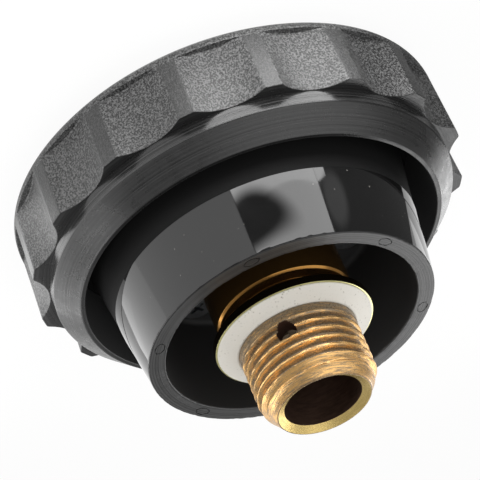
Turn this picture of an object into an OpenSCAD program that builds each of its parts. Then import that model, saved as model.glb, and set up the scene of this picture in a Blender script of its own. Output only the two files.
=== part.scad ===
// Safety filler cap: a lobed knob that idles on a threaded brass plug until
// it is pressed, with a pressure relief valve inside the plug.
// Millimetres. The cap stands on its top face, +Z runs towards the thread.

/* [Grip cap] */
// Height of the grip, from the top face to the underside of the lobes
grip_h = 16.8; // [15:0.1:24]
// Number of finger scoops round the grip
lobes = 16; // [12:1:18]
// Radius of each scoop at the foot of the grip
scoop_r = 8.9; // [8:0.1:12]
// Radius of each scoop where it ends under the rim
scoop_end_r = 17.8; // [14:0.1:20]
// Depth of each scoop below the lands, at the foot of the grip
scoop_depth = 2.65; // [1.5:0.05:3.2]
// Run of the scoops' floors out towards the rim
scoop_run = 0.7; // [0.3:0.05:1.2]
// Height of the full rim that the scoops end under
rim_h = 5; // [4:0.1:8]
// Draft of the lands, as a run in towards the rim
land_taper = 0.55; // [0.2:0.05:1]
// Radius of the rounding between the top face and the lands
top_round_r = 13.2; // [8:0.1:14]
// Angle that the top rounding turns through, in degrees
top_arc = 43.14; // [35:0.01:55]
// Small rounding at the top of each land
land_round_r = 1.5; // [0.5:0.1:2.5]
// Step from the floor of the scoops in to the plain shoulder
shoulder_step = 0.2; // [0.15:0.05:1]
// Height of the plain shoulder below the lobes
shoulder_h = 2.4; // [1.5:0.1:5]
// Height of the conical band
band_h = 4; // [2.5:0.1:7]
// Run of the conical band in towards the lip
band_run = 3.6; // [2.5:0.1:4.2]
// Width of the flat lip at the end of the band
lip_w = 0.8; // [0.5:0.1:1.5]
// Gap between the foot of the skirt and the cap's inner wall
pocket_w = 2.226; // [1.5:0.001:3]
// Wall of the cap's top
cap_top_t = 3; // [2:0.1:4]
// Draft of the cap's inner wall, in degrees
cap_draft = 1.5; // [0.5:0.1:2.5]
// Height of the ledge that carries the cup, above the inner face of the top
ledge_h = 5; // [3:0.1:6]
// Width of the ledge
ledge_w = 3; // [2:0.1:4]
// Thickness of the ribs between the screw bosses and the ledge
rib_t = 1.8; // [1.2:0.1:3]

/* [Skirt cup] */
// Height of the rim above the lip of the cap
rim_rise = 15.3; // [10:0.1:22]
// Outer radius of the rim
rim_r = 25.47; // [24.5:0.01:26]
// Width of the rim's flat end face
rim_w = 3.05; // [2:0.05:4]
// Outer draft of the skirt, in degrees
skirt_draft = 7.8; // [5:0.1:8.2]
// Inner draft of the cup, in degrees
cup_draft = 1; // [0:0.1:2]
// Depth of the cup below the rim
cup_depth = 18.5; // [18:0.1:19.5]
// Thickness of the cup's floor
floor_t = 3.5; // [3:0.1:4.5]
// Wall of the cup below its floor
foot_wall = 3; // [2:0.1:4]
// Thickness of the cup's foot flange
foot_t = 2; // [1.5:0.1:3]
// Outer radius of the hub
hub_r = 10.5; // [9.5:0.1:12]
// Length of the hub below the floor
hub_len = 3.1; // [2:0.1:3.5]

/* [Plug] */
// Outside radius of the pipe thread, half of 20.955
thread_r = 10.4775; // [10.4:0.0005:10.6]
// Length of the full thread
thread_len = 9.5; // [8:0.1:20]
// Height of the lead-in taper
lead_h = 3.2; // [2:0.1:4]
// Radius at the end of the lead-in taper
lead_r = 8.33; // [7.6:0.01:9]
// Radius of the stem's bore
stem_bore_r = 6.83; // [6.5:0.01:7.2]
// Depth of the countersink at the bore's mouth
mouth_h = 0.85; // [0.4:0.05:1.5]
// Flat edge left round the mouth
mouth_edge = 0.15; // [0.05:0.05:0.4]
// Radius of the thread relief under the seal
relief_r = 9.3; // [9:0.05:9.6]
// Height of the thread relief above the flange
relief_h = 2.37; // [2.1:0.01:4]
// Radius of the plug's flange
flange_r = 14; // [13.6:0.05:15]
// Thickness of the plug's flange
flange_t = 1.5; // [1:0.1:2.5]
// Radius of the neck under the flange
neck_r = 9.6; // [9.2:0.1:11]
// Height of the neck
neck_h = 3; // [2.6:0.1:5]
// Radius of the plug's body
body_r = 12.1; // [11.8:0.05:13]
// Height of the plug's body
body_h = 8.1; // [8:0.1:12]
// Chamfer round the body's upper edge
body_chamfer = 0.5; // [0.2:0.1:1]
// Radius of the spindle that the knob slides on
spindle_r = 5; // [4.5:0.05:5.3]
// Radius of the vent hole across the thread
vent_r = 1.75; // [1:0.05:2]
// Height of the vent hole's centre above the flange
vent_h = 5.7; // [5.6:0.1:9]
// Angle of the vent hole round the stem, from a land of the grip
vent_turn = 2; // [0:1:359]

/* [Seal] */
// Outer radius of the sealing ring
seal_r = 13.5; // [12.5:0.05:13.5]
// Height of the sealing ring's outer edge
seal_edge_h = 0.25; // [0.15:0.05:0.8]
// Radius of the inner end of the sealing cone
seal_cone_r = 10.7; // [10.6:0.05:11.5]
// Height of the sealing ring at the inner end of its cone
seal_h = 2.05; // [1.2:0.05:2.1]

/* [Clutch] */
// Number of clutch dogs
dogs = 12; // [6:6:12]
// Height of the clutch dogs
dog_h = 2; // [1.5:0.1:3]
// How deep the dogs engage when the knob is pressed
dog_engage = 1.5; // [0.8:0.1:1.5]
// Angle that one dog takes up, in degrees
dog_angle = 12.5; // [9:0.5:13]
// Inner radius of the clutch rings
clutch_in_r = 8.7; // [8.5:0.05:9]
// Outer radius of the clutch rings
clutch_out_r = 11.6; // [11:0.05:11.8]
// Travel of the knob when it is pressed
push_travel = 3; // [2:0.1:3]
// Thickness of the clutch ring's ears
ear_t = 1.5; // [1:0.1:2]
// Radius of the circle that the ears' screws stand on
screw_pcr = 16.5; // [16:0.1:17]
// Rise of the clutch ring above the cup's floor
ring_rise = 1.5; // [1:0.1:2]

/* [Bearing] */
// Outer radius of the bush
bush_r = 7; // [6.6:0.05:7.2]
// Radius of the bush's flange
bush_flange_r = 7.9; // [7.7:0.05:8]
// Thickness of the bush's flange
bush_flange_t = 1.2; // [0.8:0.1:1.4]
// Thickness of the thrust washer
thrust_t = 0.6; // [0.4:0.1:1]
// Thickness of the retaining rings
clip_t = 0.8; // [0.6:0.1:1]
// Depth of the retaining rings' grooves
clip_groove = 0.5; // [0.3:0.05:0.7]
// Width of the retaining rings' hoops
clip_w = 1.9; // [1.5:0.1:2.2]
// Shoulder left beyond each retaining ring
clip_land = 0.7; // [0.5:0.1:1]
// Thickness of the stop washer
stop_t = 1; // [0.6:0.1:1.4]
// Radius of the stop washer
stop_r = 7.5; // [7:0.1:8.5]

/* [Relief valve] */
// Radius of the valve chamber
chamber_r = 5.6; // [5:0.05:6]
// Floor left below the valve chamber
chamber_floor = 2.9; // [2.5:0.1:3.5]
// Thickness of the valve seat
seat_t = 3.5; // [3:0.1:3.6]
// Radius of the seat's orifice
orifice_r = 2.6; // [2:0.1:3]
// Height of the lip round the orifice
seat_lip_h = 0.5; // [0.3:0.1:0.8]
// Thickness of the ring nut over the seat
ring_nut_t = 1.3; // [1:0.1:1.3]
// Radius of the wire of the seat's O-ring
o_ring_r = 0.7; // [0.5:0.05:0.8]
// Lift of the valve
valve_travel = 1.2; // [0.8:0.1:1.2]
// Room left under the valve piston when the valve is open
open_room = 0.5; // [0.3:0.1:0.7]
// Thickness of the valve's seal disc
disc_t = 1.2; // [0.8:0.1:1.5]
// Radius of the valve's seal disc
disc_r = 4; // [3.6:0.1:4.2]
// Radius of the pocket that holds the valve spring
pocket_r = 3.7; // [3.6:0.05:3.9]
// Thickness of the spring plate
plate_t = 1; // [0.8:0.1:1.2]
// Radius of the adjusting screw
adjust_r = 1.5; // [1.25:0.05:2]
// Radius of the four relief ports through the neck
port_r = 1.1; // [0.8:0.05:1.2]

/* [Springs] */
// Wire diameter of the return spring
return_wire = 0.8; // [0.6:0.05:0.9]
// Coils of the return spring
return_coils = 4; // [3:0.5:4.5]
// Wire diameter of the valve spring
valve_wire = 0.6; // [0.5:0.05:0.7]
// Coils of the valve spring
valve_coils = 3.5; // [2.5:0.5:3.5]

/* [Fastenings and fits] */
// Radius of the cup screws' shanks
screw_r = 1.5; // [1.2:0.05:1.7]
// Radius of the cup screws' heads
screw_head_r = 2.8; // [2.4:0.1:3]
// Height of the cup screws' heads
screw_head_h = 1.9; // [1.4:0.1:2]
// Length of the cup screws under their heads
screw_len = 12; // [9:0.5:12]
// Wall of the bosses that the cup screws bite into
boss_wall = 2; // [1.5:0.1:2.4]
// Running clearance between shafts and their holes
run_fit = 0.05; // [0.02:0.01:0.09]
// Clearance between pieces that are fixed together
seat_fit = 0.02; // [0.01:0.01:0.05]
// End play of the knob on its bush
end_play = 0.05; // [0.02:0.01:0.15]

/* [Hidden] */
$fn = 96;
eps = 0.5;
screws = 3;
screw_hole_r = screw_r + 0.2;
lobe_step = 360 / lobes;
dog_step = 360 / dogs;

// Heights of the grip cap
shoulder_z = grip_h + shoulder_h;
lip_z = shoulder_z + band_h;
ledge_z = cap_top_t + ledge_h;

// Skirt cup
rim_z = lip_z + rim_rise;
rim_in_r = rim_r - rim_w;
floor_z = rim_z - cup_depth;
floor_r = rim_in_r - cup_depth * tan(cup_draft);
floor_low_z = floor_z - floor_t;
hub_z = floor_low_z - hub_len;
foot_z = ledge_z + foot_t;
skirt_low_r = rim_r + (rim_z - foot_z) * tan(skirt_draft);
ear_z = floor_z - ear_t;

// Radii of the grip cap, from the skirt outwards
cap_in_r = skirt_low_r + pocket_w;
ledge_r = cap_in_r - (lip_z - ledge_z) * tan(cap_draft);
foot_r = ledge_r - 4 * seat_fit;
lip_r = cap_in_r + lip_w;
shoulder_r = lip_r + band_run;
valley_r = shoulder_r + shoulder_step;
grip_r = valley_r + scoop_depth;
grip_top_r = grip_r - land_taper;

// Bearing of the knob on the spindle
thrust_drop = 0.7;
thrust_rim = 0.2;
thrust_z = ear_z - thrust_drop;
bush_flange_z = thrust_z + thrust_t + end_play;
bush_top_z = bush_flange_z + bush_flange_t;
bush_clip_z = hub_z - end_play - clip_t;
bush_low_z = bush_clip_z - clip_land;
bush_in_r = spindle_r + run_fit;
hub_bore_r = bush_r + run_fit;
thrust_r = bush_flange_r + thrust_rim;
stop_z = bush_low_z - stop_t;
spindle_clip_z = stop_z - clip_t;
spindle_z = spindle_clip_z - clip_land;

// Clutch
ring_top_z = floor_z + ring_rise;
crown_gap = push_travel - dog_engage;
body_z = ring_top_z + dog_h + crown_gap + dog_h;
ear_rim = 0.6;
ear_r = screw_head_r + ear_rim;

// Plug
neck_z = body_z + body_h;
flange_z = neck_z + neck_h;
flange_top_z = flange_z + flange_t;
thread_z = flange_top_z + relief_h;
lead_z = thread_z + thread_len;
stem_z = lead_z + lead_h;
vent_z = flange_top_z + vent_h;

// Relief valve
seat_rise = 0.5;
plate_rise = 0.4;
plate_pip_h = 0.6;
pocket_h = 1.8;
nut_h = 2.2;
screw_rise = 0.4;
seat_z = flange_z + seat_rise;
seat_top_z = seat_z + seat_t;
chamber_z = body_z + chamber_floor;
seal_face_z = seat_z - seat_lip_h;
plate_z = chamber_z + plate_rise;
plate_top_z = plate_z + plate_t;
poppet_z = plate_top_z + plate_pip_h + valve_travel + open_room;
poppet_h = seal_face_z - poppet_z;
nut_z = spindle_z - nut_h;
adjust_z = nut_z - screw_rise;
port_z = neck_z + neck_h / 2;
groove_z = seat_z + seat_t / 2;

// A plain ring
module ring(r_out, r_in, h) {
    difference() {
        cylinder(r = r_out, h = h);
        translate([0, 0, -eps]) cylinder(r = r_in, h = h + 2 * eps);
    }
}

// Copies round the axis, the first at the angle given
module round_about(count, first = 0) {
    for (i = [0 : count - 1]) rotate(first + i * 360 / count) children();
}

// Crown of dogs standing on z = 0, with roots below it
module crown(first) {
    root = [0, 0, -eps];
    intersection() {
        translate(root) ring(clutch_out_r, clutch_in_r, eps + dog_h);
        round_about(dogs, first) translate(2 * root) dog_wedge(dog_h + 3 * eps);
    }
}

// Wedge from the axis that cuts one dog out of the crown's ring
module dog_wedge(h) {
    reach = 2 * clutch_out_r;
    half = dog_angle / 2;
    linear_extrude(h) polygon([[0, 0], reach * [cos(half), -sin(half)], reach * [cos(half), sin(half)]]);
}

// Retaining ring with an open gap between two eyes
module retaining_ring(shaft_r) {
    in_r = shaft_r - clip_groove + seat_fit;
    out_r = in_r + clip_w;
    gap = 3;
    eye_r = 1.1;
    eye_x = out_r - 0.3;
    linear_extrude(clip_t) difference() {
        union() {
            circle(out_r);
            for (side = [-1, 1]) translate([eye_x, side * (gap / 2 + eye_r)]) circle(eye_r);
        }
        circle(in_r);
        translate([0, -gap / 2]) square([2 * out_r, gap]);
        for (side = [-1, 1]) translate([eye_x, side * (gap / 2 + eye_r)]) circle(eye_r / 2);
    }
}

// Height of a coil spring's wire: closed end turns, even coils between them
function coil_rise(t, coils) =
    let (flat = 0.35 / coils)
    t < flat ? 0 : t > 1 - flat ? 1 : (t - flat) / (1 - 2 * flat);

// Coil spring from z_low to z_high, swept round wire
module coil_spring(mean_r, wire, coils, z_low, z_high) {
    sides = 8;
    steps = ceil(20 * coils);
    low = z_low + wire / 2 + seat_fit;
    high = z_high - wire / 2 - seat_fit;
    rings = [for (i = [0 : steps])
        let (t = i / steps, turn = 360 * coils * t, z = low + (high - low) * coil_rise(t, coils))
        for (k = [0 : sides - 1])
            let (a = 360 * k / sides, r = mean_r + wire / 2 * cos(a))
            [r * cos(turn), r * sin(turn), z + wire / 2 * sin(a)]];
    faces = concat(
        [[for (k = [0 : sides - 1]) k]],
        [[for (k = [0 : sides - 1]) steps * sides + sides - 1 - k]],
        [for (i = [0 : steps - 1], k = [0 : sides - 1])
            let (a = i * sides + k, b = i * sides + (k + 1) % sides)
            [a, a + sides, b + sides, b]]);
    polyhedron(rings, faces);
}

// Section of the grip cap's outside, with a true arc at the top and on the lands
module cap_outline() {
    reach = top_round_r - land_round_r;
    in_x = grip_top_r - land_round_r;
    in_z = top_round_r - reach * cos(top_arc);
    top_flat_r = in_x - reach * sin(top_arc);
    arc_c = [top_flat_r, top_round_r];
    land_c = [in_x, in_z];
    meet = arc_c + (land_c - arc_c) * top_round_r / reach;
    difference() {
        polygon([[0, 0], [grip_top_r, 0], [grip_top_r, in_z], [grip_r, grip_h],
                 [shoulder_r, grip_h], [shoulder_r, shoulder_z], [lip_r, lip_z], [0, lip_z]]);
        difference() {
            translate([top_flat_r, -eps]) square([grip_r, top_round_r]);
            translate(arc_c) circle(top_round_r, $fn = 180);
            translate([top_flat_r, in_z + eps]) square([grip_r, top_round_r]);
        }
        difference() {
            polygon([land_c, meet, [meet[0] + eps, 0], [grip_top_r + eps, 0],
                     [grip_top_r + eps, in_z], [grip_top_r, in_z]]);
            translate(land_c) circle(land_round_r, $fn = 90);
        }
    }
}

// Cutter of one finger scoop: a leaning cone, its near side the scoop's floor, cut off under the rim
module scoop() {
    scoop_h = grip_h - rim_h;
    lean = atan(scoop_run / scoop_h);
    spread = atan((scoop_end_r - scoop_r) * cos(lean) / scoop_h);
    tip = scoop_r / tan(spread);
    cone_h = tip + 2 * scoop_h;
    intersection() {
        translate([0, 0, rim_h]) cylinder(r = grip_r + eps, h = scoop_h + eps);
        translate([valley_r - tip * sin(lean), 0, grip_h + tip * cos(lean)])
            rotate([0, 180 - lean - spread, 0]) cylinder(r1 = 0, r2 = cone_h * tan(spread), h = cone_h);
    }
}

module grip_cap() {
    boss_r = screw_r + boss_wall;
    boss_h = floor_low_z - cap_top_t;
    tip_room = 1;
    rib_end = ledge_r - ledge_w + 2 * eps;
    color("#3b3c3e") difference() {
        union() {
            difference() {
                rotate_extrude($fn = 180) cap_outline();
                round_about(lobes, lobe_step / 2) scoop();
                translate([0, 0, ledge_z])
                    cylinder(r1 = ledge_r, r2 = cap_in_r + eps * tan(cap_draft), h = lip_z - ledge_z + eps);
                translate([0, 0, cap_top_t]) cylinder(r = ledge_r - ledge_w, h = lip_z);
            }
            round_about(screws) {
                translate([screw_pcr, 0, cap_top_t - eps]) cylinder(r = boss_r, h = boss_h + eps);
                translate([screw_pcr, -rib_t / 2, cap_top_t - eps])
                    cube([rib_end - screw_pcr, rib_t, ledge_h]);
            }
        }
        round_about(screws) translate([screw_pcr, 0, floor_z - screw_len - tip_room])
            cylinder(r = screw_r + seat_fit, h = screw_len + tip_room);
    }
}

// Plan of the clutch ring's ears, grown all round by the given clearance
module ear_plan(grow) {
    circle(clutch_out_r + grow);
    round_about(screws) {
        translate([0, -ear_r - grow]) square([screw_pcr, 2 * (ear_r + grow)]);
        translate([screw_pcr, 0]) circle(ear_r + grow);
    }
}

module skirt_cup() {
    foot_in_r = skirt_low_r - foot_wall;
    color("#17171a") difference() {
        rotate_extrude($fn = 180)
            polygon([[hub_bore_r, hub_z], [hub_r, hub_z], [hub_r, floor_low_z],
                     [foot_in_r, floor_low_z], [foot_in_r, ledge_z], [foot_r, ledge_z],
                     [foot_r, foot_z], [skirt_low_r, foot_z], [rim_r, rim_z],
                     [rim_in_r, rim_z], [floor_r, floor_z], [hub_bore_r, floor_z]]);
        translate([0, 0, ear_z]) linear_extrude(ear_t + eps) ear_plan(3 * seat_fit);
        translate([0, 0, thrust_z]) cylinder(r = thrust_r + seat_fit, h = floor_t);
        round_about(screws) translate([screw_pcr, 0, floor_low_z - eps])
            cylinder(r = screw_hole_r, h = floor_t + 2 * eps);
    }
}

module clutch_ring() {
    color("#9a9c9e") {
        difference() {
            translate([0, 0, ear_z]) linear_extrude(ear_t) ear_plan(0);
            translate([0, 0, ear_z - eps]) cylinder(r = clutch_in_r, h = ear_t + 2 * eps);
            round_about(screws) translate([screw_pcr, 0, ear_z - eps])
                cylinder(r = screw_hole_r, h = ear_t + 2 * eps);
        }
        translate([0, 0, floor_z - eps]) ring(clutch_out_r, clutch_in_r, eps + ring_rise);
        translate([0, 0, ring_top_z]) crown(0);
    }
}

module cup_screws() {
    cross_len = 3;
    cross_w = 0.6;
    color("#b4b6b8") round_about(screws) translate([screw_pcr, 0, floor_z]) difference() {
        union() {
            cylinder(r = screw_head_r, h = screw_head_h);
            translate([0, 0, -screw_len]) cylinder(r = screw_r, h = screw_len + eps);
        }
        translate([0, 0, screw_head_h / 2]) for (turn = [0, 90]) rotate(turn)
            translate([-cross_len / 2, -cross_w / 2, 0]) cube([cross_len, cross_w, screw_head_h]);
    }
}

module thrust_washer() {
    color("#e4e2d8") translate([0, 0, thrust_z]) ring(thrust_r, hub_bore_r, thrust_t);
}

module hub_bush() {
    groove_r = bush_r - clip_groove;
    color("#a97c46") difference() {
        union() {
            translate([0, 0, bush_low_z]) cylinder(r = bush_r, h = bush_top_z - bush_low_z);
            translate([0, 0, bush_flange_z]) cylinder(r = bush_flange_r, h = bush_flange_t);
        }
        translate([0, 0, bush_low_z - eps]) cylinder(r = bush_in_r, h = bush_top_z - bush_low_z + 2 * eps);
        translate([0, 0, bush_clip_z]) ring(bush_r + eps, groove_r, clip_t);
    }
}

module bush_clip() {
    color("#8c8e92") translate([0, 0, bush_clip_z]) retaining_ring(bush_r);
}

// The plug is turned from one bar: thread, flange, neck, body, crown and spindle
module plug_body() {
    color("#c9a04e") difference() {
        union() {
            rotate_extrude() polygon([
                [0, spindle_z], [spindle_r, spindle_z], [spindle_r, body_z], [body_r, body_z],
                [body_r, neck_z - body_chamfer], [body_r - body_chamfer, neck_z],
                [neck_r, neck_z], [neck_r, flange_z], [flange_r, flange_z],
                [flange_r, flange_top_z], [relief_r, flange_top_z], [relief_r, thread_z],
                [thread_r, thread_z], [thread_r, lead_z], [lead_r, stem_z],
                [lead_r - mouth_edge, stem_z], [stem_bore_r, stem_z - mouth_h],
                [stem_bore_r, seat_z], [chamber_r, seat_z], [chamber_r, chamber_z],
                [0, chamber_z]]);
            translate([0, 0, body_z]) mirror([0, 0, 1]) crown(dog_step / 2);
        }
        translate([0, 0, spindle_z - eps]) cylinder(r = adjust_r + run_fit, h = chamber_z - spindle_z + 2 * eps);
        translate([0, 0, spindle_clip_z]) ring(spindle_r + eps, spindle_r - clip_groove, clip_t);
        rotate(vent_turn) translate([0, 0, vent_z]) rotate([0, 90, 0])
            cylinder(r = vent_r, h = thread_r + eps);
        round_about(4, 45) translate([0, 0, port_z]) rotate([0, 90, 0])
            cylinder(r = port_r, h = neck_r + eps);
    }
}

module sealing_ring() {
    in_r = relief_r + seat_fit;
    color("#d8d8d2") translate([0, 0, flange_top_z]) rotate_extrude()
        polygon([[in_r, 0], [seal_r, 0], [seal_r, seal_edge_h], [seal_cone_r, seal_h], [in_r, seal_h]]);
}

module valve_seat() {
    out_r = stem_bore_r - seat_fit;
    seat_lip_w = 0.7;
    mouth = 1;
    color("#c9a04e") difference() {
        union() {
            translate([0, 0, seat_z]) cylinder(r = out_r, h = seat_t);
            translate([0, 0, seal_face_z]) cylinder(r = orifice_r + seat_lip_w, h = seat_lip_h + eps);
        }
        translate([0, 0, seal_face_z - eps]) cylinder(r = orifice_r, h = seat_t + seat_lip_h + 2 * eps);
        translate([0, 0, seat_top_z - mouth]) cylinder(r1 = orifice_r, r2 = orifice_r + 2 * mouth, h = 2 * mouth);
        translate([0, 0, groove_z]) rotate_extrude()
            translate([out_r - o_ring_r, 0]) square(2 * (o_ring_r + seat_fit), center = true);
    }
}

module seat_o_ring() {
    color("#26262a") translate([0, 0, groove_z]) rotate_extrude()
        translate([stem_bore_r - seat_fit - o_ring_r, 0]) circle(o_ring_r, $fn = 48);
}

module seat_ring_nut() {
    key_slot = 1.2;
    hoop_w = 2.8;
    color("#b98f45") translate([0, 0, seat_top_z]) difference() {
        ring(stem_bore_r - seat_fit, stem_bore_r - hoop_w, ring_nut_t);
        translate([-stem_bore_r, -key_slot / 2, ring_nut_t / 2]) cube([2 * stem_bore_r, key_slot, ring_nut_t]);
    }
}

module valve_piston() {
    flat_depth = 1.1;
    flat_x = chamber_r - flat_depth;
    guide_r = chamber_r - run_fit;
    color("#bfc1c3") difference() {
        translate([0, 0, poppet_z]) cylinder(r = guide_r, h = poppet_h - seat_lip_h);
        translate([0, 0, seal_face_z - disc_t]) cylinder(r = disc_r + seat_fit, h = disc_t + eps);
        translate([0, 0, poppet_z - eps]) cylinder(r = pocket_r, h = pocket_h + eps);
        round_about(4, 45) translate([flat_x, -guide_r, poppet_z - eps])
            cube([guide_r, 2 * guide_r, poppet_h + eps]);
    }
}

module valve_seal() {
    color("#2a2a2e") translate([0, 0, seal_face_z - disc_t]) cylinder(r = disc_r, h = disc_t);
}

module spring_plate() {
    rim = 0.4;
    pip_r = pocket_r - 2 * valve_wire;
    color("#bfc1c3") translate([0, 0, plate_z]) {
        cylinder(r = pocket_r + rim, h = plate_t);
        cylinder(r = pip_r / 2, h = plate_t + plate_pip_h);
    }
}

module adjusting_screw() {
    slot_w = 0.5;
    slot_h = 1;
    color("#b4b6b8") difference() {
        translate([0, 0, adjust_z]) cylinder(r = adjust_r, h = plate_z - adjust_z);
        translate([-adjust_r - eps, -slot_w / 2, adjust_z - eps]) cube([2 * (adjust_r + eps), slot_w, slot_h + eps]);
    }
}

module lock_nut() {
    corner_r = 2.1 * adjust_r;
    color("#b4b6b8") translate([0, 0, nut_z]) difference() {
        cylinder(r = corner_r, h = nut_h, $fn = 6);
        translate([0, 0, -eps]) cylinder(r = adjust_r + seat_fit, h = nut_h + 2 * eps);
    }
}

module stop_washer() {
    color("#b4b6b8") translate([0, 0, stop_z]) ring(stop_r, spindle_r + seat_fit, stop_t);
}

module spindle_clip() {
    color("#8c8e92") translate([0, 0, spindle_clip_z]) retaining_ring(spindle_r);
}

module return_spring() {
    mean_r = (spindle_r + clutch_in_r) / 2;
    color("#a4a6aa") coil_spring(mean_r, return_wire, return_coils, bush_top_z, body_z);
}

module valve_spring() {
    color("#a4a6aa") coil_spring(pocket_r - 1.2 * valve_wire, valve_wire, valve_coils,
                                 plate_top_z, poppet_z + pocket_h);
}

grip_cap();
skirt_cup();
clutch_ring();
cup_screws();
thrust_washer();
hub_bush();
bush_clip();
plug_body();
sealing_ring();
valve_seat();
seat_o_ring();
seat_ring_nut();
spring_plate();
adjusting_screw();
lock_nut();
stop_washer();
spindle_clip();
return_spring();
valve_spring();
valve_piston();
valve_seal();
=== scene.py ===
# Safety filler cap: a lobed black knob that idles on a threaded brass plug.
# The cap stands on the knob's flat face, +Z runs towards the thread.
import math

import bmesh
import bpy
import numpy as np
from mathutils import Matrix, Vector


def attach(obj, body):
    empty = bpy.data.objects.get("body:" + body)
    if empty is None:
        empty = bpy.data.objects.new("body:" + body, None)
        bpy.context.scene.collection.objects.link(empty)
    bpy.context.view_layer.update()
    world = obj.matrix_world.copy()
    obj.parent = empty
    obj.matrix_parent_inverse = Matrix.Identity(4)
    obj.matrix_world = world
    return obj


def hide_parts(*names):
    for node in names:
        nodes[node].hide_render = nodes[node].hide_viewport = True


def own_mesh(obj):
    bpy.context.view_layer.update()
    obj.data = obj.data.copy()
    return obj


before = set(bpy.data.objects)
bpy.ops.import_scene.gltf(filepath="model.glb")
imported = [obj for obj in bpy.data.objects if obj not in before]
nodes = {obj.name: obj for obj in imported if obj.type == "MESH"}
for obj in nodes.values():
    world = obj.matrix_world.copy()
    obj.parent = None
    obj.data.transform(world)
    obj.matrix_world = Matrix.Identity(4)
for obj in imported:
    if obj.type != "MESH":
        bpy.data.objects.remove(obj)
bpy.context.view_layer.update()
mm = 0.001


# Small helpers

def linear(code):  # sRGB hex to linear colour
    parts = [int(code[i:i + 2], 16) / 255 for i in (1, 3, 5)]
    return [p / 12.92 if p <= 0.04045 else ((p + 0.055) / 1.055) ** 2.4 for p in parts] + [1.0]


def addNode(tree, kind, settings=None, inputs=None, to=None):  # one node with its settings, values and links
    node = tree.nodes.new(kind)
    for name, value in (settings or {}).items():
        if name == "stops":  # the positions and colours of a colour ramp
            for stop, (position, colour) in zip(node.color_ramp.elements, value):
                stop.position, stop.color = position, linear(colour)
        else:
            setattr(node, name, value)
    for key, value in (inputs or {}).items():
        if isinstance(value, bpy.types.NodeSocket):
            tree.links.new(value, node.inputs[key])
        else:
            node.inputs[key].default_value = value
    if to is not None:
        tree.links.new(node.outputs[0], to)
    return node


def skin(name, grid, wrapColumns=True, wrapRows=False):  # quad mesh over rows of points, in mm
    rows, columns = grid.shape[:2]
    index = np.arange(rows * columns).reshape(rows, columns)
    if wrapRows:
        index = np.vstack([index, index[:1]])
    if wrapColumns:
        index = np.hstack([index, index[:, :1]])
    quads = np.stack([index[:-1, :-1], index[:-1, 1:], index[1:, 1:], index[1:, :-1]], axis=-1)
    mesh = bpy.data.meshes.new(name)
    mesh.from_pydata((grid.reshape(-1, 3) * mm).tolist(), [], quads.reshape(-1, 4).tolist())
    weld(mesh)
    return mesh


def weld(mesh, gap=2e-7):  # joins doubled points, then turns every face outwards
    work = bmesh.new()
    work.from_mesh(mesh)
    bmesh.ops.remove_doubles(work, verts=work.verts, dist=gap)
    bmesh.ops.dissolve_degenerate(work, edges=work.edges, dist=gap)
    bmesh.ops.recalc_face_normals(work, faces=work.faces)
    work.to_mesh(mesh)
    work.free()


def smoothed(mesh, angle=32):  # smooth faces that break at sharp edges
    mesh.shade_smooth()
    mesh.set_sharp_from_angle(angle=math.radians(angle))
    return mesh


def softened(corners, closed=True, steps=5):  # outline of (radius, height, fillet) corners, with its fillets
    outline = []
    count = len(corners)
    for i, corner in enumerate(corners):
        here = np.array(corner[:2], float)
        fillet = corner[2] if len(corner) > 2 else 0
        if not fillet or (not closed and i in (0, count - 1)):
            outline.append(here)
            continue
        before, after = (np.array(corners[j % count][:2], float) for j in (i - 1, i + 1))
        lengths = [np.linalg.norm(p - here) for p in (before, after)]
        a, b = (before - here) / lengths[0], (after - here) / lengths[1]
        half = math.acos(np.clip(a @ b, -1, 1)) / 2
        reach = fillet / math.tan(half)
        centre = here + (a + b) / np.linalg.norm(a + b) * fillet / math.sin(half)
        support = [min(fillet / 2, (length - reach) / 3) for length in lengths]
        outline.append(here + a * (reach + support[0]))
        start, end = here + a * reach - centre, here + b * reach - centre
        sweep = math.pi - 2 * half
        for k in range(steps + 1):
            t = k / steps
            swing = (start * math.sin((1 - t) * sweep) + end * math.sin(t * sweep)) / math.sin(sweep)
            outline.append(centre + swing)
        outline.append(here + b * (reach + support[1]))
    return outline


def turned(name, outline, columns=240, closed=True):  # mesh of revolution from a (radius, height) outline
    angle = np.arange(columns) * 2 * math.pi / columns
    r, z = np.array(outline).T
    grid = np.stack([np.outer(r, np.cos(angle)), np.outer(r, np.sin(angle)),
                     np.outer(z, np.ones(columns))], axis=-1)
    return skin(name, grid, wrapRows=closed)


def prism(name, plan, low, high):  # straight solid over a flat outline, in mm
    corners = np.array(plan)
    walls = np.stack([np.column_stack([corners, np.full(len(corners), z)]) for z in (low, high)])
    mesh = bpy.data.meshes.new(name)
    count = len(corners)
    sides = [[i, (i + 1) % count, count + (i + 1) % count, count + i] for i in range(count)]
    faces = sides + [list(range(count))[::-1], list(range(count, 2 * count))]
    mesh.from_pydata((walls.reshape(-1, 3) * mm).tolist(), [], faces)
    weld(mesh)
    return mesh


def moved(mesh, place=(0, 0, 0), turn=0, axis="Z"):  # the mesh turned by some degrees, then shifted in mm
    shift = Matrix.Translation([value * mm for value in place])
    mesh.transform(shift @ Matrix.Rotation(math.radians(turn), 4, axis))
    return mesh


def addObject(name, data):
    thing = bpy.data.objects.new(name, data)
    bpy.context.scene.collection.objects.link(thing)
    return thing


def evaluated(mesh, kind, setUp):  # the mesh as one modifier leaves it
    holder = addObject("holder", mesh)
    modifier = holder.modifiers.new("work", kind)
    setUp(modifier)
    bpy.context.view_layer.update()
    ready = holder.evaluated_get(bpy.context.evaluated_depsgraph_get())
    result = bpy.data.meshes.new_from_object(ready)
    result.name = mesh.name
    holder.modifiers.remove(modifier)
    bpy.data.objects.remove(holder)
    return result


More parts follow.
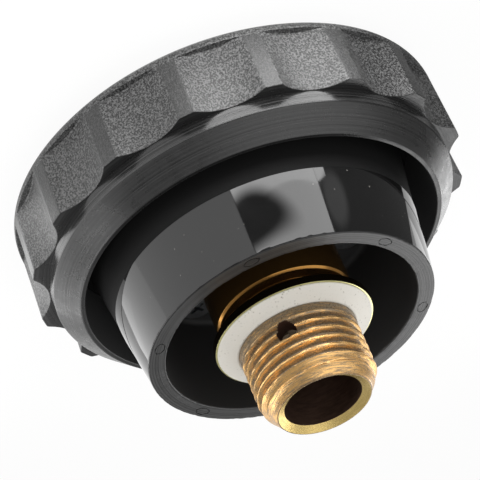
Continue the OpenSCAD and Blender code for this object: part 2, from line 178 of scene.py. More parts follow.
def carve(mesh, tool, operation="DIFFERENCE"):  # boolean of closed meshes, none of which cuts itself
    cutter = addObject("cutter", tool)

    def setUp(modifier):
        modifier.object, modifier.operation, modifier.solver = cutter, operation, "MANIFOLD"

    result = evaluated(mesh, "BOOLEAN", setUp)
    bpy.data.objects.remove(cutter)
    return result


def faceMiddles(mesh):  # the middle of every face, as three arrays in mm
    middles = np.zeros(len(mesh.polygons) * 3)
    mesh.polygons.foreach_get("center", middles)
    return middles.reshape(-1, 3).T / mm


def addPiece(name, mesh, body, slot, replaced, *finishes):  # a finished mesh and what it stands for
    mesh.materials.clear()
    for material in finishes:
        mesh.materials.append(material)
    mesh.name = name
    piece = addObject(name, mesh)
    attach(piece, body)
    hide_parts(replaced)
    return piece


# Camera: a long lens at the photograph's angle

print("camera")
view = {
    "lens": 337.5,        # mm on a 36 mm sensor
    "distance": 755.87,   # mm to the middle of the cup's rim
    "tilt": 57.29,        # degrees between the line of sight and the cap's axis
    "roll": 157.2,        # degrees
    "turn": -3.76,        # degrees round the axis
    "offset": (8.838, -14.747),  # mm of the rim's middle from the line of sight
    "rimHeight": 38.5,    # mm
}
tilt, roll = math.radians(view["tilt"]), math.radians(view["roll"])
back = Vector((math.sin(tilt), 0, math.cos(tilt)))
side, rise = Vector((0, 1, 0)), Vector((-math.cos(tilt), 0, math.sin(tilt)))
right = math.cos(roll) * side + math.sin(roll) * rise
up = -math.sin(roll) * side + math.cos(roll) * rise
spot = view["distance"] * back - view["offset"][0] * right - view["offset"][1] * up
spot.z += view["rimHeight"]
turn = Matrix.Rotation(math.radians(view["turn"]), 4, "Z")
cameraData = bpy.data.cameras.new("camera")
cameraData.lens = view["lens"]
cameraData.sensor_width = 36
cameraData.clip_start, cameraData.clip_end = 0.01, 50
camera = addObject("camera", cameraData)
camera.matrix_world = turn @ Matrix.Translation(spot * mm) @ Matrix((right, up, back)).transposed().to_4x4()
bpy.context.scene.camera = camera


# Materials

print("materials")


def emptyMaterial(name):
    material = bpy.data.materials.new(name)
    material.use_nodes = True
    material.node_tree.nodes.clear()
    return material, material.node_tree


def startMaterial(name, colour, roughness, metallic=0.0, **constants):  # its shader's sockets and the place
    material, tree = emptyMaterial(name)
    surface = addNode(tree, "ShaderNodeBsdfPrincipled", None, {
        "Base Color": linear(colour), "Roughness": roughness, "Metallic": metallic, **constants})
    addNode(tree, "ShaderNodeOutputMaterial", None, {"Surface": surface.outputs[0]})
    return material, tree, surface.inputs, addNode(tree, "ShaderNodeTexCoord").outputs["Object"]


def axisPlace(tree, place):  # distance from the axis and height, in metres
    split = addNode(tree, "ShaderNodeSeparateXYZ", None, {0: place})
    flat = addNode(tree, "ShaderNodeCombineXYZ", None, {0: split.outputs[0], 1: split.outputs[1]})
    radius = addNode(tree, "ShaderNodeVectorMath", {"operation": "LENGTH"}, {0: flat.outputs[0]})
    return radius.outputs["Value"], split.outputs[2]


def toolStreaks(tree, place, length, width, detail, harshness):  # marks that run round the axis, sizes in mm
    stretched = addNode(tree, "ShaderNodeVectorMath", {"operation": "MULTIPLY"},
                        {0: place, 1: (1 / (length * mm), 1 / (length * mm), 1 / (width * mm))})
    streaks = addNode(tree, "ShaderNodeTexNoise", None, {
        "Vector": stretched.outputs[0], "Scale": 1.0, "Detail": detail, "Roughness": harshness})
    return streaks.outputs["Fac"]


def unevenGloss(tree, surface, place, patch, sheen, reach=(0.3, 0.7), detail=3.0, harshness=0.5):
    # roughness that varies in patches, given in mm, as handling and grease leave it
    smears = addNode(tree, "ShaderNodeTexNoise", None,
                     {"Vector": place, "Scale": 1 / (patch * mm), "Detail": detail, "Roughness": harshness})
    addNode(tree, "ShaderNodeMapRange", None,
            {"Value": smears.outputs["Fac"], "From Min": reach[0], "From Max": reach[1],
             "To Min": sheen[0], "To Max": sheen[1]}, to=surface["Roughness"])


def sparkErodedNylon(name, dark, light, pitDepth, sheen):
    # glass-filled nylon from a spark-eroded mould: a grain that scatters the light, drawn about 0.3 mm wide
    # because a finer one wouldn't show
    material, tree, surface, place = startMaterial(name, light, sheen[0])
    craters = addNode(tree, "ShaderNodeTexVoronoi", None, {"Vector": place, "Scale": 1 / (0.32 * mm)})
    mottle = addNode(tree, "ShaderNodeTexNoise", None,
                     {"Vector": place, "Scale": 1 / (0.33 * mm), "Detail": 2.0, "Roughness": 0.7})
    grain = addNode(tree, "ShaderNodeMath", {"operation": "MULTIPLY_ADD"},
                    {0: craters.outputs["Distance"], 1: 0.4, 2: mottle.outputs["Fac"]})
    addNode(tree, "ShaderNodeValToRGB", {"stops": [(0.62, dark), (0.84, light)]},
            {"Fac": grain.outputs[0]}, to=surface["Base Color"])
    addNode(tree, "ShaderNodeBump", None,
            {"Strength": 1.0, "Distance": pitDepth * mm, "Height": grain.outputs[0]}, to=surface["Normal"])
    unevenGloss(tree, surface, place, 6, sheen)
    return material


def polishedNylon(name, colour, sheen, ringDepth):
    # the same nylon from a turned part of the mould: satin, with the tool's rings round the axis, which are
    # drawn about 0.5 mm apart so that they show
    material, tree, surface, place = startMaterial(name, colour, sheen[0])
    radius, height = axisPlace(tree, place)
    along = addNode(tree, "ShaderNodeMath", {"operation": "SUBTRACT"}, {0: radius, 1: height})
    rings = addNode(tree, "ShaderNodeTexNoise", {"noise_dimensions": "1D"},
                    {"W": along.outputs[0], "Scale": 1 / (0.5 * mm), "Detail": 3.0, "Roughness": 0.75})
    addNode(tree, "ShaderNodeValToRGB", {"stops": [(0.35, "#0a0a0a"), (0.65, colour)]},
            {"Fac": rings.outputs["Fac"]}, to=surface["Base Color"])
    addNode(tree, "ShaderNodeBump", None,
            {"Strength": 1.0, "Distance": ringDepth * mm, "Height": rings.outputs["Fac"]},
            to=surface["Normal"])
    unevenGloss(tree, surface, place, 2.5, sheen, (0.3, 0.75), 4.0, 0.65)
    return material


def glossPhenolic():
    # black phenolic from a polished mould: mirror gloss with a few specks of dust, up to 0.3 mm wide
    material, tree, surface, place = startMaterial(
        "glossPhenolic", "#0e0e0e", 0.05, **{"Specular IOR Level": 0.35})
    dust = addNode(tree, "ShaderNodeTexVoronoi", None, {"Vector": place, "Scale": 1 / (1.1 * mm)})
    chosen = addNode(tree, "ShaderNodeSeparateColor", None, {0: dust.outputs["Color"]})
    size = addNode(tree, "ShaderNodeMapRange", None,
                   {"Value": chosen.outputs[0], "From Min": 0.72, "From Max": 1.0, "To Max": 0.13})
    speck = addNode(tree, "ShaderNodeMath", {"operation": "LESS_THAN"},
                    {0: dust.outputs["Distance"], 1: size.outputs["Result"]})
    addNode(tree, "ShaderNodeValToRGB", {"stops": [(0.0, "#0e0e0e"), (1.0, "#6a6864")]},
            {"Fac": speck.outputs[0]}, to=surface["Base Color"])
    unevenGloss(tree, surface, place, 4, (0.03, 0.08), (0.35, 0.75), 4.0, 0.6)
    return material


def mattMoulding(name, colour, roughness, gloss):
    # phenolic, nylon or brass off the polished faces: dull, with a grain drawn 0.25 mm wide to show; its
    # colour is painted light inside the cap and the cup, painted shade elsewhere
    material, tree, surface, place = startMaterial(name, colour, roughness, **{"Specular IOR Level": gloss})
    grain = addNode(tree, "ShaderNodeTexNoise", None,
                    {"Vector": place, "Scale": 1 / (0.25 * mm), "Detail": 3.0})
    addNode(tree, "ShaderNodeBump", None,
            {"Strength": 0.5, "Distance": 0.02 * mm, "Height": grain.outputs["Fac"]}, to=surface["Normal"])
    return material


def turnedPhenolic():
    # the same black phenolic where the rim was faced off: matt, with the tool's rings, drawn about 0.4 mm
    # apart so that they show
    material, tree, surface, place = startMaterial("turnedPhenolic", "#2d2d2d", 0.4)
    radius = axisPlace(tree, place)[0]
    rings = addNode(tree, "ShaderNodeTexNoise", {"noise_dimensions": "1D"},
                    {"W": radius, "Scale": 1 / (0.36 * mm), "Detail": 2.0, "Roughness": 0.7})
    addNode(tree, "ShaderNodeValToRGB", {"stops": [(0.42, "#0f0f0f"), (0.56, "#3a3a3a")]},
            {"Fac": rings.outputs["Fac"]}, to=surface["Base Color"])
    addNode(tree, "ShaderNodeBump", None,
            {"Strength": 1.0, "Distance": 0.05 * mm, "Height": rings.outputs["Fac"]}, to=surface["Normal"])
    return material


brassLook = {  # mm: where the brass changes its look
    "above": {"chamfer": 34.7, "neck": 35.2, "flangeTop": 39.5, "thread": 41.0, "mouth": 53.75},  # heights
    "outside": {"flangeSide": 13.5, "mouthEdge": 8.2},  # radii
    "lip": 8.36, "roots": 9.35, "crests": 10.25,  # radii
    "taper": (50.5, 52.5), "runOut": (42.4, 43.6),  # heights
}


def turnedBrass():
    # turned brass that has lost its shine: tan on worn crests, grey-brown in the roots, painted shade on the
    # neck.
    # Inputs 2 and 3 of a Mix node are its numbers, 6 and 7 its colours.
    material, tree, surface, place = startMaterial("turnedBrass", "#dcb276", 0.3, 0.9)
    radius, height = axisPlace(tree, place)
    past = {}  # shares that are 1 beyond an edge
    for value, edges in ((height, brassLook["above"]), (radius, brassLook["outside"])):
        for zone, edge in edges.items():
            past[zone] = addNode(tree, "ShaderNodeMath", {"operation": "GREATER_THAN"},
                                 {0: value, 1: edge * mm}).outputs[0]
    within = addNode(tree, "ShaderNodeMath", {"operation": "LESS_THAN"},
                     {0: radius, 1: brassLook["lip"] * mm})
    # the flange's top outer edge is painted pale, a painted highlight
    for both, first, second in (("flangeCorner", past["flangeSide"], past["flangeTop"]),
                                ("lip", past["mouth"], within.outputs[0])):
        past[both] = addNode(tree, "ShaderNodeMath", {"operation": "MULTIPLY"},
                             {0: first, 1: second}).outputs[0]
    # the thin ring between the mouth's rough yellow and its outer edge is painted shade, a dark outline
    lip = addNode(tree, "ShaderNodeMix", {"data_type": "RGBA"},
                  {"Factor": past["mouthEdge"], 6: linear("#d8bd78"), 7: linear("#74604a")})

    streaks = toolStreaks(tree, place, 2.2, 0.17, 4.0, 0.7)  # feed marks 0.17 mm apart
    tarnish = addNode(tree, "ShaderNodeTexNoise", None,
                      {"Vector": place, "Scale": 1 / (0.3 * mm), "Detail": 4.0, "Roughness": 0.7})
    worn = addNode(tree, "ShaderNodeMapRange", None, {
        "Value": radius, "From Min": brassLook["roots"] * mm, "From Max": brassLook["crests"] * mm,
        "To Min": -1.1, "To Max": -0.34})
    bare = worn.outputs["Result"]
    ends = {}  # the taper at the mouth is bare, the run-out at the seal isn't
    for zone, low, high in (("taper", 0.0, 0.6), ("runOut", -0.4, 0.0)):
        start, stop = brassLook[zone]
        ends[zone] = addNode(tree, "ShaderNodeMapRange", None,
                             {"Value": height, "From Min": start * mm, "From Max": stop * mm,
                              "To Min": low, "To Max": high}).outputs["Result"]
    for operation, value in (("ADD", ends["taper"]), ("MINIMUM", -0.42), ("ADD", ends["runOut"])):
        bare = addNode(tree, "ShaderNodeMath", {"operation": operation}, {0: bare, 1: value}).outputs[0]
    blend = addNode(tree, "ShaderNodeMath", {"operation": "MULTIPLY_ADD"}, {0: streaks, 1: 2.2, 2: bare})
    tone = addNode(tree, "ShaderNodeValToRGB", {"stops": [(0.3, "#85755f"), (0.78, "#e8b876")]},
                   {"Fac": blend.outputs[0]})

    colour = linear("#9a7440")  # from the body up, each zone covers what is before it
    # the neck and the flange's side are painted shade: dark brown where the cup's shadow falls
    for zone, cover in (("chamfer", linear("#a0743a")), ("neck", linear("#33261a")),
                        ("flangeSide", linear("#33291c")), ("flangeCorner", linear("#cfc992")),
                        ("thread", tone.outputs["Color"]), ("lip", lip.outputs[2])):
        mixed = addNode(tree, "ShaderNodeMix", {"data_type": "RGBA"},
                        {"Factor": past[zone], 6: colour, 7: cover})
        colour = mixed.outputs[2]
    tree.links.new(colour, surface["Base Color"])

    metal = addNode(tree, "ShaderNodeMapRange", None,
                    {"Value": blend.outputs[0], "From Min": 0.25, "From Max": 0.75, "To Min": 0.5})
    shine = addNode(tree, "ShaderNodeMapRange", None,
                    {"Value": tarnish.outputs["Fac"], "From Min": 0.3, "From Max": 0.7,
                     "To Min": 0.2, "To Max": 0.4})
    for socket, plain, varied in (("Metallic", 0.9, metal), ("Roughness", 0.2, shine)):
        addNode(tree, "ShaderNodeMix", {"data_type": "FLOAT"},
                {"Factor": past["thread"], 2: plain, 3: varied.outputs["Result"]}, to=surface[socket])
    relief = addNode(tree, "ShaderNodeMix", {"data_type": "FLOAT"},
                     {"Factor": past["lip"], 2: streaks, 3: tarnish.outputs["Fac"]})
    depth = addNode(tree, "ShaderNodeMath", {"operation": "MULTIPLY"},
                    {0: relief.outputs[0], 1: past["thread"]})
    addNode(tree, "ShaderNodeBump", None,
            {"Strength": 0.85, "Distance": 0.05 * mm, "Height": depth.outputs[0]}, to=surface["Normal"])
    return material


def paleFluoropolymer():
    # white sealing plastic, turned: waxy, with grey specks that gather in patches of about 2 mm
    material, tree, surface, place = startMaterial("paleFluoropolymer", "#d2d2ca", 0.48)
    radius = axisPlace(tree, place)[0]
    lines = addNode(tree, "ShaderNodeTexNoise", {"noise_dimensions": "1D"},
                    {"W": radius, "Scale": 1 / (0.35 * mm), "Detail": 2.0})
    specks = addNode(tree, "ShaderNodeTexVoronoi", None, {"Vector": place, "Scale": 1 / (0.55 * mm)})
    dot = addNode(tree, "ShaderNodeMapRange", None,
                  {"Value": specks.outputs["Distance"], "From Min": 0.1, "From Max": 0.35,
                   "To Min": 1.0, "To Max": 0.0})
    patch = addNode(tree, "ShaderNodeTexNoise", None,
                    {"Vector": place, "Scale": 1 / (1.8 * mm), "Detail": 3.0})
    amount = addNode(tree, "ShaderNodeMapRange", None,
                     {"Value": patch.outputs["Fac"], "From Min": 0.48, "From Max": 0.68,
                      "To Min": 0.06, "To Max": 0.8})
    dirt = addNode(tree, "ShaderNodeMath", {"operation": "MULTIPLY"},
                   {0: dot.outputs["Result"], 1: amount.outputs["Result"]})
    addNode(tree, "ShaderNodeValToRGB", {"stops": [(0.0, "#e6e3da"), (1.0, "#8c8474")]},
            {"Fac": dirt.outputs[0]}, to=surface["Base Color"])
    addNode(tree, "ShaderNodeBump", None,
            {"Strength": 0.35, "Distance": 0.02 * mm, "Height": lines.outputs["Fac"]}, to=surface["Normal"])
    return material


def plainMetal(name, dark, light, roughness, spacing):
    # turned or drawn metal for the pieces inside: lines round the axis that soften the mirror, drawn 0.2 to
    # 0.5 mm apart so that they show
    material, tree, surface, place = startMaterial(name, light, roughness, 1.0)
    streaks = toolStreaks(tree, place, 2, spacing, 3.0, 0.6)
    addNode(tree, "ShaderNodeValToRGB", {"stops": [(0.3, dark), (0.7, light)]},
            {"Fac": streaks}, to=surface["Base Color"])
    addNode(tree, "ShaderNodeBump", None,
            {"Strength": 0.5, "Distance": 0.01 * mm, "Height": streaks}, to=surface["Normal"])
    return material


def nitrileRubber():
    # black nitrile: dull, slightly mottled by grease
    material, tree, surface, place = startMaterial("nitrileRubber", "#1b1b1c", 0.6)
    unevenGloss(tree, surface, place, 0.8, (0.4, 0.7))
    return material


finish = {
    # the cap outside, its worn lands, its band and shoulder, and the inside of its lip
    "grip": sparkErodedNylon("sparkErodedNylon", "#161616", "#515151", 0.09, (0.36, 0.47)),
    "land": sparkErodedNylon("rubbedNylon", "#222222", "#363636", 0.08, (0.3, 0.42)),
    "band": polishedNylon("satinNylon", "#262626", (0.22, 0.4), 0.05),
    "shoulder": polishedNylon("polishedNylon", "#282828", (0.14, 0.3), 0.03),
    # the inside of the lip is painted a lighter grey than the cap, painted light where it lies in shade
    "lipInside": mattMoulding("mattNylon", "#5c5c5c", 0.8, 0.1),
    # the skirt, its faced rim, its hollow inside and the foot that the lip hides
    "cup": glossPhenolic(),
    "rim": turnedPhenolic(),
    # the cup's inside is painted a lighter grey than its black outside, painted light in its deep shade
    "hollow": mattMoulding("mattPhenolic", "#303030", 0.6, 0.4),
    # dull black where the polish ends, kept nearly unreflecting as painted shade; also painted shade on the
    # gate marks' walls
    "pocket": mattMoulding("shadedPhenolic", "#1a1a1a", 0.7, 0.08),
    # the plug outside, in its bore and round its vent hole, then its ring
    "brass": turnedBrass(),
    "bore": plainMetal("tarnishedBrass", "#54423a", "#6e584c", 0.6, 0.4),
    # dark brown painted shade inside the vent hole and deep in the bore
    "vent": mattMoulding("shadedBrass", "#3a261c", 0.8, 0.1),
    "seal": paleFluoropolymer(),
    # the pieces inside
    "rubber": nitrileRubber(),
    "bronze": plainMetal("sinteredBronze", "#7d5a35", "#b58a55", 0.45, 0.5),
    "steel": plainMetal("phosphatedSteel", "#77797c", "#a5a7aa", 0.38, 0.3),
    "zinc": plainMetal("zincPlatedSteel", "#9da0a3", "#c6c8ca", 0.3, 0.25),
    "spring": plainMetal("drawnSpringSteel", "#85878a", "#b0b2b5", 0.3, 0.4),
    "stainless": plainMetal("turnedStainless", "#9c9d9f", "#c8c9cb", 0.28, 0.2),
}


# Geometry Nodes trees

def addTree(name, inputs):  # an empty tree, the identifiers of its inputs and their sockets
    tree = bpy.data.node_groups.new(name, "GeometryNodeTree")
    for way in ("INPUT", "OUTPUT"):
        tree.interface.new_socket("Geometry", in_out=way, socket_type="NodeSocketGeometry")
    keys = {}
    for label, kind in inputs.items():
        socket = tree.interface.new_socket(label, in_out="INPUT", socket_type="NodeSocket" + kind)
        keys[label] = socket.identifier
    return tree, keys, addNode(tree, "NodeGroupInput").outputs


def endTree(tree, shape, material):  # paints the shape and passes it on
    painted = addNode(tree, "GeometryNodeSetMaterial", None, {"Geometry": shape, "Material": material})
    addNode(tree, "NodeGroupOutput", None, {"Geometry": painted.outputs[0]})


def ringOfCopies():  # the given mesh, repeated round the Z axis and welded
    tree, keys, given = addTree("ringOfCopies", {"Copies": "Int", "Finish": "Material"})
    spots = addNode(tree, "GeometryNodePoints", None, {"Count": given["Copies"]})
    index = addNode(tree, "GeometryNodeInputIndex")
    step = addNode(tree, "ShaderNodeMath", {"operation": "DIVIDE"}, {0: 2 * math.pi, 1: given["Copies"]})
    angle = addNode(tree, "ShaderNodeMath", {"operation": "MULTIPLY"},
                    {0: index.outputs[0], 1: step.outputs[0]})
    spin = addNode(tree, "ShaderNodeCombineXYZ", None, {"Z": angle.outputs[0]})
    facing = addNode(tree, "FunctionNodeEulerToRotation", None, {0: spin.outputs[0]})
    copies = addNode(tree, "GeometryNodeInstanceOnPoints", None, {
        "Points": spots.outputs[0], "Instance": given["Geometry"], "Rotation": facing.outputs[0]})
    real = addNode(tree, "GeometryNodeRealizeInstances", None, {"Geometry": copies.outputs[0]})
    welded = addNode(tree, "GeometryNodeMergeByDistance", None,
                     {"Geometry": real.outputs[0], "Distance": 1e-6})
    endTree(tree, welded.outputs[0], given["Finish"])
    return tree, keys


def coilOnAxis():  # a coil spring with closed end turns, swept round wire
    tree, keys, given = addTree("coilOnAxis", {
        "Points": "Int", "Coil Radius": "Float", "Wire Radius": "Float", "Turns": "Float", "Low": "Float",
        "High": "Float", "Flat Share": "Float", "Finish": "Material"})
    line = addNode(tree, "GeometryNodeMeshLine", None, {"Count": given["Points"]})
    index = addNode(tree, "GeometryNodeInputIndex")
    last = addNode(tree, "ShaderNodeMath", {"operation": "SUBTRACT"}, {0: given["Points"], 1: 1.0})
    share = addNode(tree, "ShaderNodeMath", {"operation": "DIVIDE"},
                    {0: index.outputs[0], 1: last.outputs[0]})
    angle = share
    for factor in (given["Turns"], 2 * math.pi):
        angle = addNode(tree, "ShaderNodeMath", {"operation": "MULTIPLY"}, {0: angle.outputs[0], 1: factor})
    far = addNode(tree, "ShaderNodeMath", {"operation": "SUBTRACT"}, {0: 1.0, 1: given["Flat Share"]})
    height = addNode(tree, "ShaderNodeMapRange", {"interpolation_type": "SMOOTHSTEP"}, {
        "Value": share.outputs[0], "From Min": given["Flat Share"], "From Max": far.outputs[0],
        "To Min": given["Low"], "To Max": given["High"]})
    flat = []  # x and y of the wire's middle
    for wave in ("COSINE", "SINE"):
        swing = addNode(tree, "ShaderNodeMath", {"operation": wave}, {0: angle.outputs[0]})
        flat.append(addNode(tree, "ShaderNodeMath", {"operation": "MULTIPLY"},
                            {0: swing.outputs[0], 1: given["Coil Radius"]}).outputs[0])
    spot = addNode(tree, "ShaderNodeCombineXYZ", None, {0: flat[0], 1: flat[1], 2: height.outputs[0]})
    placed = addNode(tree, "GeometryNodeSetPosition", None,
                     {"Geometry": line.outputs[0], "Position": spot.outputs[0]})
    path = addNode(tree, "GeometryNodeMeshToCurve", None, {"Mesh": placed.outputs[0]})
    wire = addNode(tree, "GeometryNodeCurvePrimitiveCircle", None,
                   {"Resolution": 14, "Radius": given["Wire Radius"]})
    swept = addNode(tree, "GeometryNodeCurveToMesh", None,
                    {"Curve": path.outputs[0], "Profile Curve": wire.outputs[0], "Fill Caps": True})
    real = addNode(tree, "GeometryNodeRealizeInstances", None, {"Geometry": swept.outputs[0]})
    endTree(tree, real.outputs[0], given["Finish"])
    return tree, keys


ringTree, ringKeys = ringOfCopies()
coilTree, coilKeys = coilOnAxis()


def fromTree(mesh, tree, keys, values):  # the mesh as a node tree leaves it, with the tree's inputs set
    def setUp(modifier):
        modifier.node_group = tree
        for label, value in values.items():
            modifier[keys[label]] = value

    return evaluated(mesh, "NODES", setUp)


def repeated(mesh, copies, material):
    return fromTree(mesh, ringTree, ringKeys, {"Copies": copies, "Finish": material})


# Grip cap, sizes in mm and degrees

print("grip cap")
grip = {
    "lobes": 16, "landRadius": 38.85, "landTopRadius": 38.3, "height": 16.8, "rimHeight": 5.0,
    "scoopRadius": 9.5, "scoopFloor": 36.2, "scoopEndRadius": 17.8, "scoopEndFloor": 36.9,
    "topRounding": 13.2, "topArc": 43.14, "landRounding": 1.5, "edge": 0.16, "cove": 0.25,
    "shoulderRadius": 36.0, "shoulderTop": 19.2, "lipRadius": 32.4, "lipHeight": 23.2, "lipInner": 31.6,
    "ledgeRadius": 31.2, "ledgeHeight": 8.0, "ledgeInner": 28.2, "topWall": 3.0,
    "bossCircle": 16.5, "bossRadius": 3.5, "bossFoot": 2.5, "bossTop": 16.5,
    "holeRadius": 1.52, "holeDepthAt": 7.0,
    "ribWidth": 1.8, "ribFoot": 2.4, "ribTop": 7.5, "ribInset": 2.4, "ribEnd": 29.2,
    "topRings": (0, 10, 20, 26),  # radii of the rows on the flat top
    "gather": (0.5, 4.0),         # heights between which the columns move to the lands' edges
    "besideEdge": (-0.36, -0.2, -0.1, -0.04, 0.0, 0.04, 0.1, 0.2, 0.36),  # columns on both sides of that edge
}
topReach = grip["topRounding"] - grip["landRounding"]
topArc = math.radians(grip["topArc"])
landX = grip["landTopRadius"] - grip["landRounding"]
rimStart = grip["topRounding"] - topReach * math.cos(topArc)
topFlat = landX - topReach * math.sin(topArc)


def landReach(z):  # radius over the lands, which have a little draft
    draft, span = grip["landRadius"] - grip["landTopRadius"], grip["height"] - rimStart
    return grip["landTopRadius"] + draft * (z - rimStart) / span


def topRows():  # (radius, height) rows from the middle of the top face to the outside of the full rim
    large, small = grip["topRounding"], grip["landRounding"]
    rows = [(r, 0.0) for r in (*grip["topRings"], topFlat)]
    for a in np.linspace(0, topArc, 22)[1:]:
        rows.append((topFlat + large * math.sin(a), large * (1 - math.cos(a))))
    for a in np.linspace(topArc, math.pi / 2, 8)[1:]:
        rows.append((landX + small * math.sin(a), rimStart - small * math.cos(a)))
    return rows


def scoopAt(z):  # radius and centre of a scoop's arc, which flattens evenly from the foot to the rim
    t = (grip["height"] - z) / (grip["height"] - grip["rimHeight"])
    radius = 1 / ((1 - t) / grip["scoopRadius"] + t / grip["scoopEndRadius"])
    return radius, grip["scoopFloor"] + (grip["scoopEndFloor"] - grip["scoopFloor"]) * t + radius


def lobeSector():  # one lobe, from the middle of one scoop to the middle of the next
    halfStep = math.pi / grip["lobes"]
    farAway = 99  # mm, where a scoop's arc ends
    offsets = np.array(grip["besideEdge"])
    landSteps, scoopSteps = np.linspace(0, 1, 7)[:-1], np.linspace(0, 1, 9)[1:]
    count = len(landSteps) + len(offsets) + len(scoopSteps)

    def columnsAt(z):  # angles from the middle of the land to the middle of the scoop
        reach = landReach(z)
        radius, centre = scoopAt(z)
        edge = halfStep - math.acos((reach ** 2 + centre ** 2 - radius ** 2) / (2 * reach * centre))
        near = offsets / reach
        return np.concatenate([landSteps * (edge + near[0]), edge + near,
                               edge + near[-1] + scoopSteps * (halfStep - edge - near[-1])])

    def sideAt(angle, z):  # the land and the scoop's wall, with a small rounding where they meet
        radius, centre = scoopAt(z)
        away = halfStep - angle
        under = radius ** 2 - (centre * np.sin(away)) ** 2
        wall = np.where(under > 0, centre * np.cos(away) - np.sqrt(np.maximum(under, 0)), farAway)
        blend = 2 * grip["edge"]
        reach = landReach(z)
        return np.minimum(reach, wall) - np.maximum(blend - np.abs(reach - wall), 0) ** 2 / (4 * blend)

    rim, edge, cove = grip["rimHeight"], grip["edge"], grip["cove"]
    start, end = grip["gather"]
    atRim = columnsAt(rim)
    even = np.linspace(0, halfStep, count)
    rows = []
    for r, z in topRows():
        share = min(max((z - start) / (end - start), 0), 1)
        rows.append((np.full(count, r), even + (atRim - even) * share, z))
    step = landReach(rim) - sideAt(atRim, rim)
    softEdge, softCove = np.minimum(edge, step / 3), np.minimum(cove, step / 3)
    for turnBy in np.radians([0, 30, 60, 90]):
        z = rim - edge * (1 - math.sin(turnBy))
        rows.append((landReach(rim) - softEdge * (1 - math.cos(turnBy)), atRim, z))
    for turnBy in np.radians([0, 30, 60, 90]):
        z = rim + cove * (1 - math.cos(turnBy))
        rows.append((sideAt(atRim, z) + softCove * (1 - math.sin(turnBy)), atRim, z))
    foot = grip["height"] - edge
    for z in np.linspace(rim + cove, foot, 8)[1:]:
        angle = columnsAt(z)
        rows.append((sideAt(angle, z), angle, z))
    r, angle, z = rows[-1]
    for turnBy in np.radians([22, 45, 68, 90]):
        rows.append((r - edge * (1 - math.cos(turnBy)), angle, z + edge * math.sin(turnBy)))
    under = rows[-1][0]
    for t in (0.5, 1.0):
        rows.append((under + (grip["shoulderRadius"] - under) * t, angle, grip["height"]))
    inside = softened([
        (grip["shoulderRadius"], grip["height"]), (grip["shoulderRadius"], grip["shoulderTop"], 0.35),
        (grip["lipRadius"], grip["lipHeight"], 0.18), (grip["lipInner"], grip["lipHeight"], 0.15),
        (grip["ledgeRadius"], grip["ledgeHeight"], 0.3), (grip["ledgeInner"], grip["ledgeHeight"], 0.3),
        (grip["ledgeInner"], grip["topWall"], 0.8), (0, grip["topWall"])], closed=False)
    for rowRadius, rowHeight in inside[1:]:
        rows.append((np.full(count, rowRadius), angle, rowHeight))
    half = np.array([np.column_stack([r * np.cos(a), r * np.sin(a), np.full(count, z)]) for r, a, z in rows])
    other = half[:, :0:-1] * np.array([1, -1, 1])
    return skin("grip_cap", np.concatenate([other, half], axis=1), wrapColumns=False)


def bossWithRib():
    boss = turned("boss", softened([
        (0, grip["bossFoot"]), (grip["bossRadius"], grip["bossFoot"]),
        (grip["bossRadius"], grip["bossTop"], 0.2), (grip["holeRadius"], grip["bossTop"]),
        (grip["holeRadius"], grip["holeDepthAt"]), (0, grip["holeDepthAt"])], closed=False),
        columns=40, closed=False)
    start, end, half = grip["bossCircle"] + grip["ribInset"], grip["ribEnd"], grip["ribWidth"] / 2
    rib = prism("rib", [(start, -half), (end, -half), (end, half), (start, half)],
                grip["ribFoot"], grip["ribTop"])
    return carve(moved(boss, (grip["bossCircle"], 0, 0)), rib, "UNION")


capMesh = repeated(lobeSector(), grip["lobes"], finish["grip"])
weld(capMesh, gap=1e-6)
capMesh = carve(capMesh, repeated(bossWithRib(), 3, finish["grip"]), "UNION")
weld(capMesh)
addPiece("grip_cap_moulding", smoothed(capMesh), "knob", "grip_plastic", "grip_cap",
         finish["grip"], finish["shoulder"], finish["band"], finish["lipInside"], finish["land"])
x, y, height = faceMiddles(capMesh)  # the faces are sorted by their middles, with small tolerances in mm
radius = np.hypot(x, y)
within = (height > grip["topWall"] - 0.01) & (height < grip["lipHeight"] - 0.03)
inside = within & (radius < grip["lipInner"] + 0.1)
onFoot = (np.abs(height - grip["height"]) < 0.01) & (radius > grip["shoulderRadius"] + 0.05)
onBand = onFoot | (height > grip["shoulderTop"] - 0.05)
onSide = (height > grip["rimHeight"] + 0.3) & (height < grip["height"] - 0.02)
onLand = onSide & (radius > landReach(height) - 0.05)
zone = np.where(onBand, 2, np.where(height > grip["height"] - 0.01, 1, 0))
capMesh.polygons.foreach_set("material_index", np.where(inside, 3, np.where(onLand, 4, zone)))


# Skirt cup, sizes in mm and degrees

print("skirt cup")
cup = {
    "rimRadius": 25.47, "rimInner": 22.42, "rimHeight": 38.5, "floorRadius": 22.1, "floorHeight": 20.0,
    "underFloor": 16.5, "hubBore": 7.05, "hubRadius": 10.5, "hubLow": 13.4, "footRadius": 31.12,
    "footLow": 8.0, "footTop": 10.0, "skirtLow": 29.37, "wall": 3.0, "edge": 0.22,
    "earCircle": 16.5, "earRadius": 3.46, "ringRadius": 11.66, "earDepthAt": 18.5,
    "washerRadius": 8.12, "washerDepthAt": 17.8, "screwHole": 1.7, "cutLow": 16.0, "cutTop": 21.0,
    "glossFrom": 25.9, "glossStep": 0.25,  # the polished part of the mould starts with a small step
    "gateMarks": 6, "gateTurn": 1.3, "gateSize": (1.45, 0.9), "gateDepth": 0.16, "gateWall": 0.17,
    "chips": {"rimInner": (1, 70, 0.17), "rimRadius": (-1, 80, 0.09)},  # direction, count and largest size
    "chipWidth": (0.4, 1.7), "chipSmallest": 0.03, "chipReach": 0.3, "chipSeed": 11,
    "columns": 480,
}
rimMiddle, rimTop = (cup["rimRadius"] + cup["rimInner"]) / 2, cup["rimHeight"]


def skirtAt(z):  # radius of the skirt's outside
    inset, span = cup["rimRadius"] - cup["skirtLow"], cup["rimHeight"] - cup["footTop"]
    return cup["skirtLow"] + inset * (z - cup["footTop"]) / span


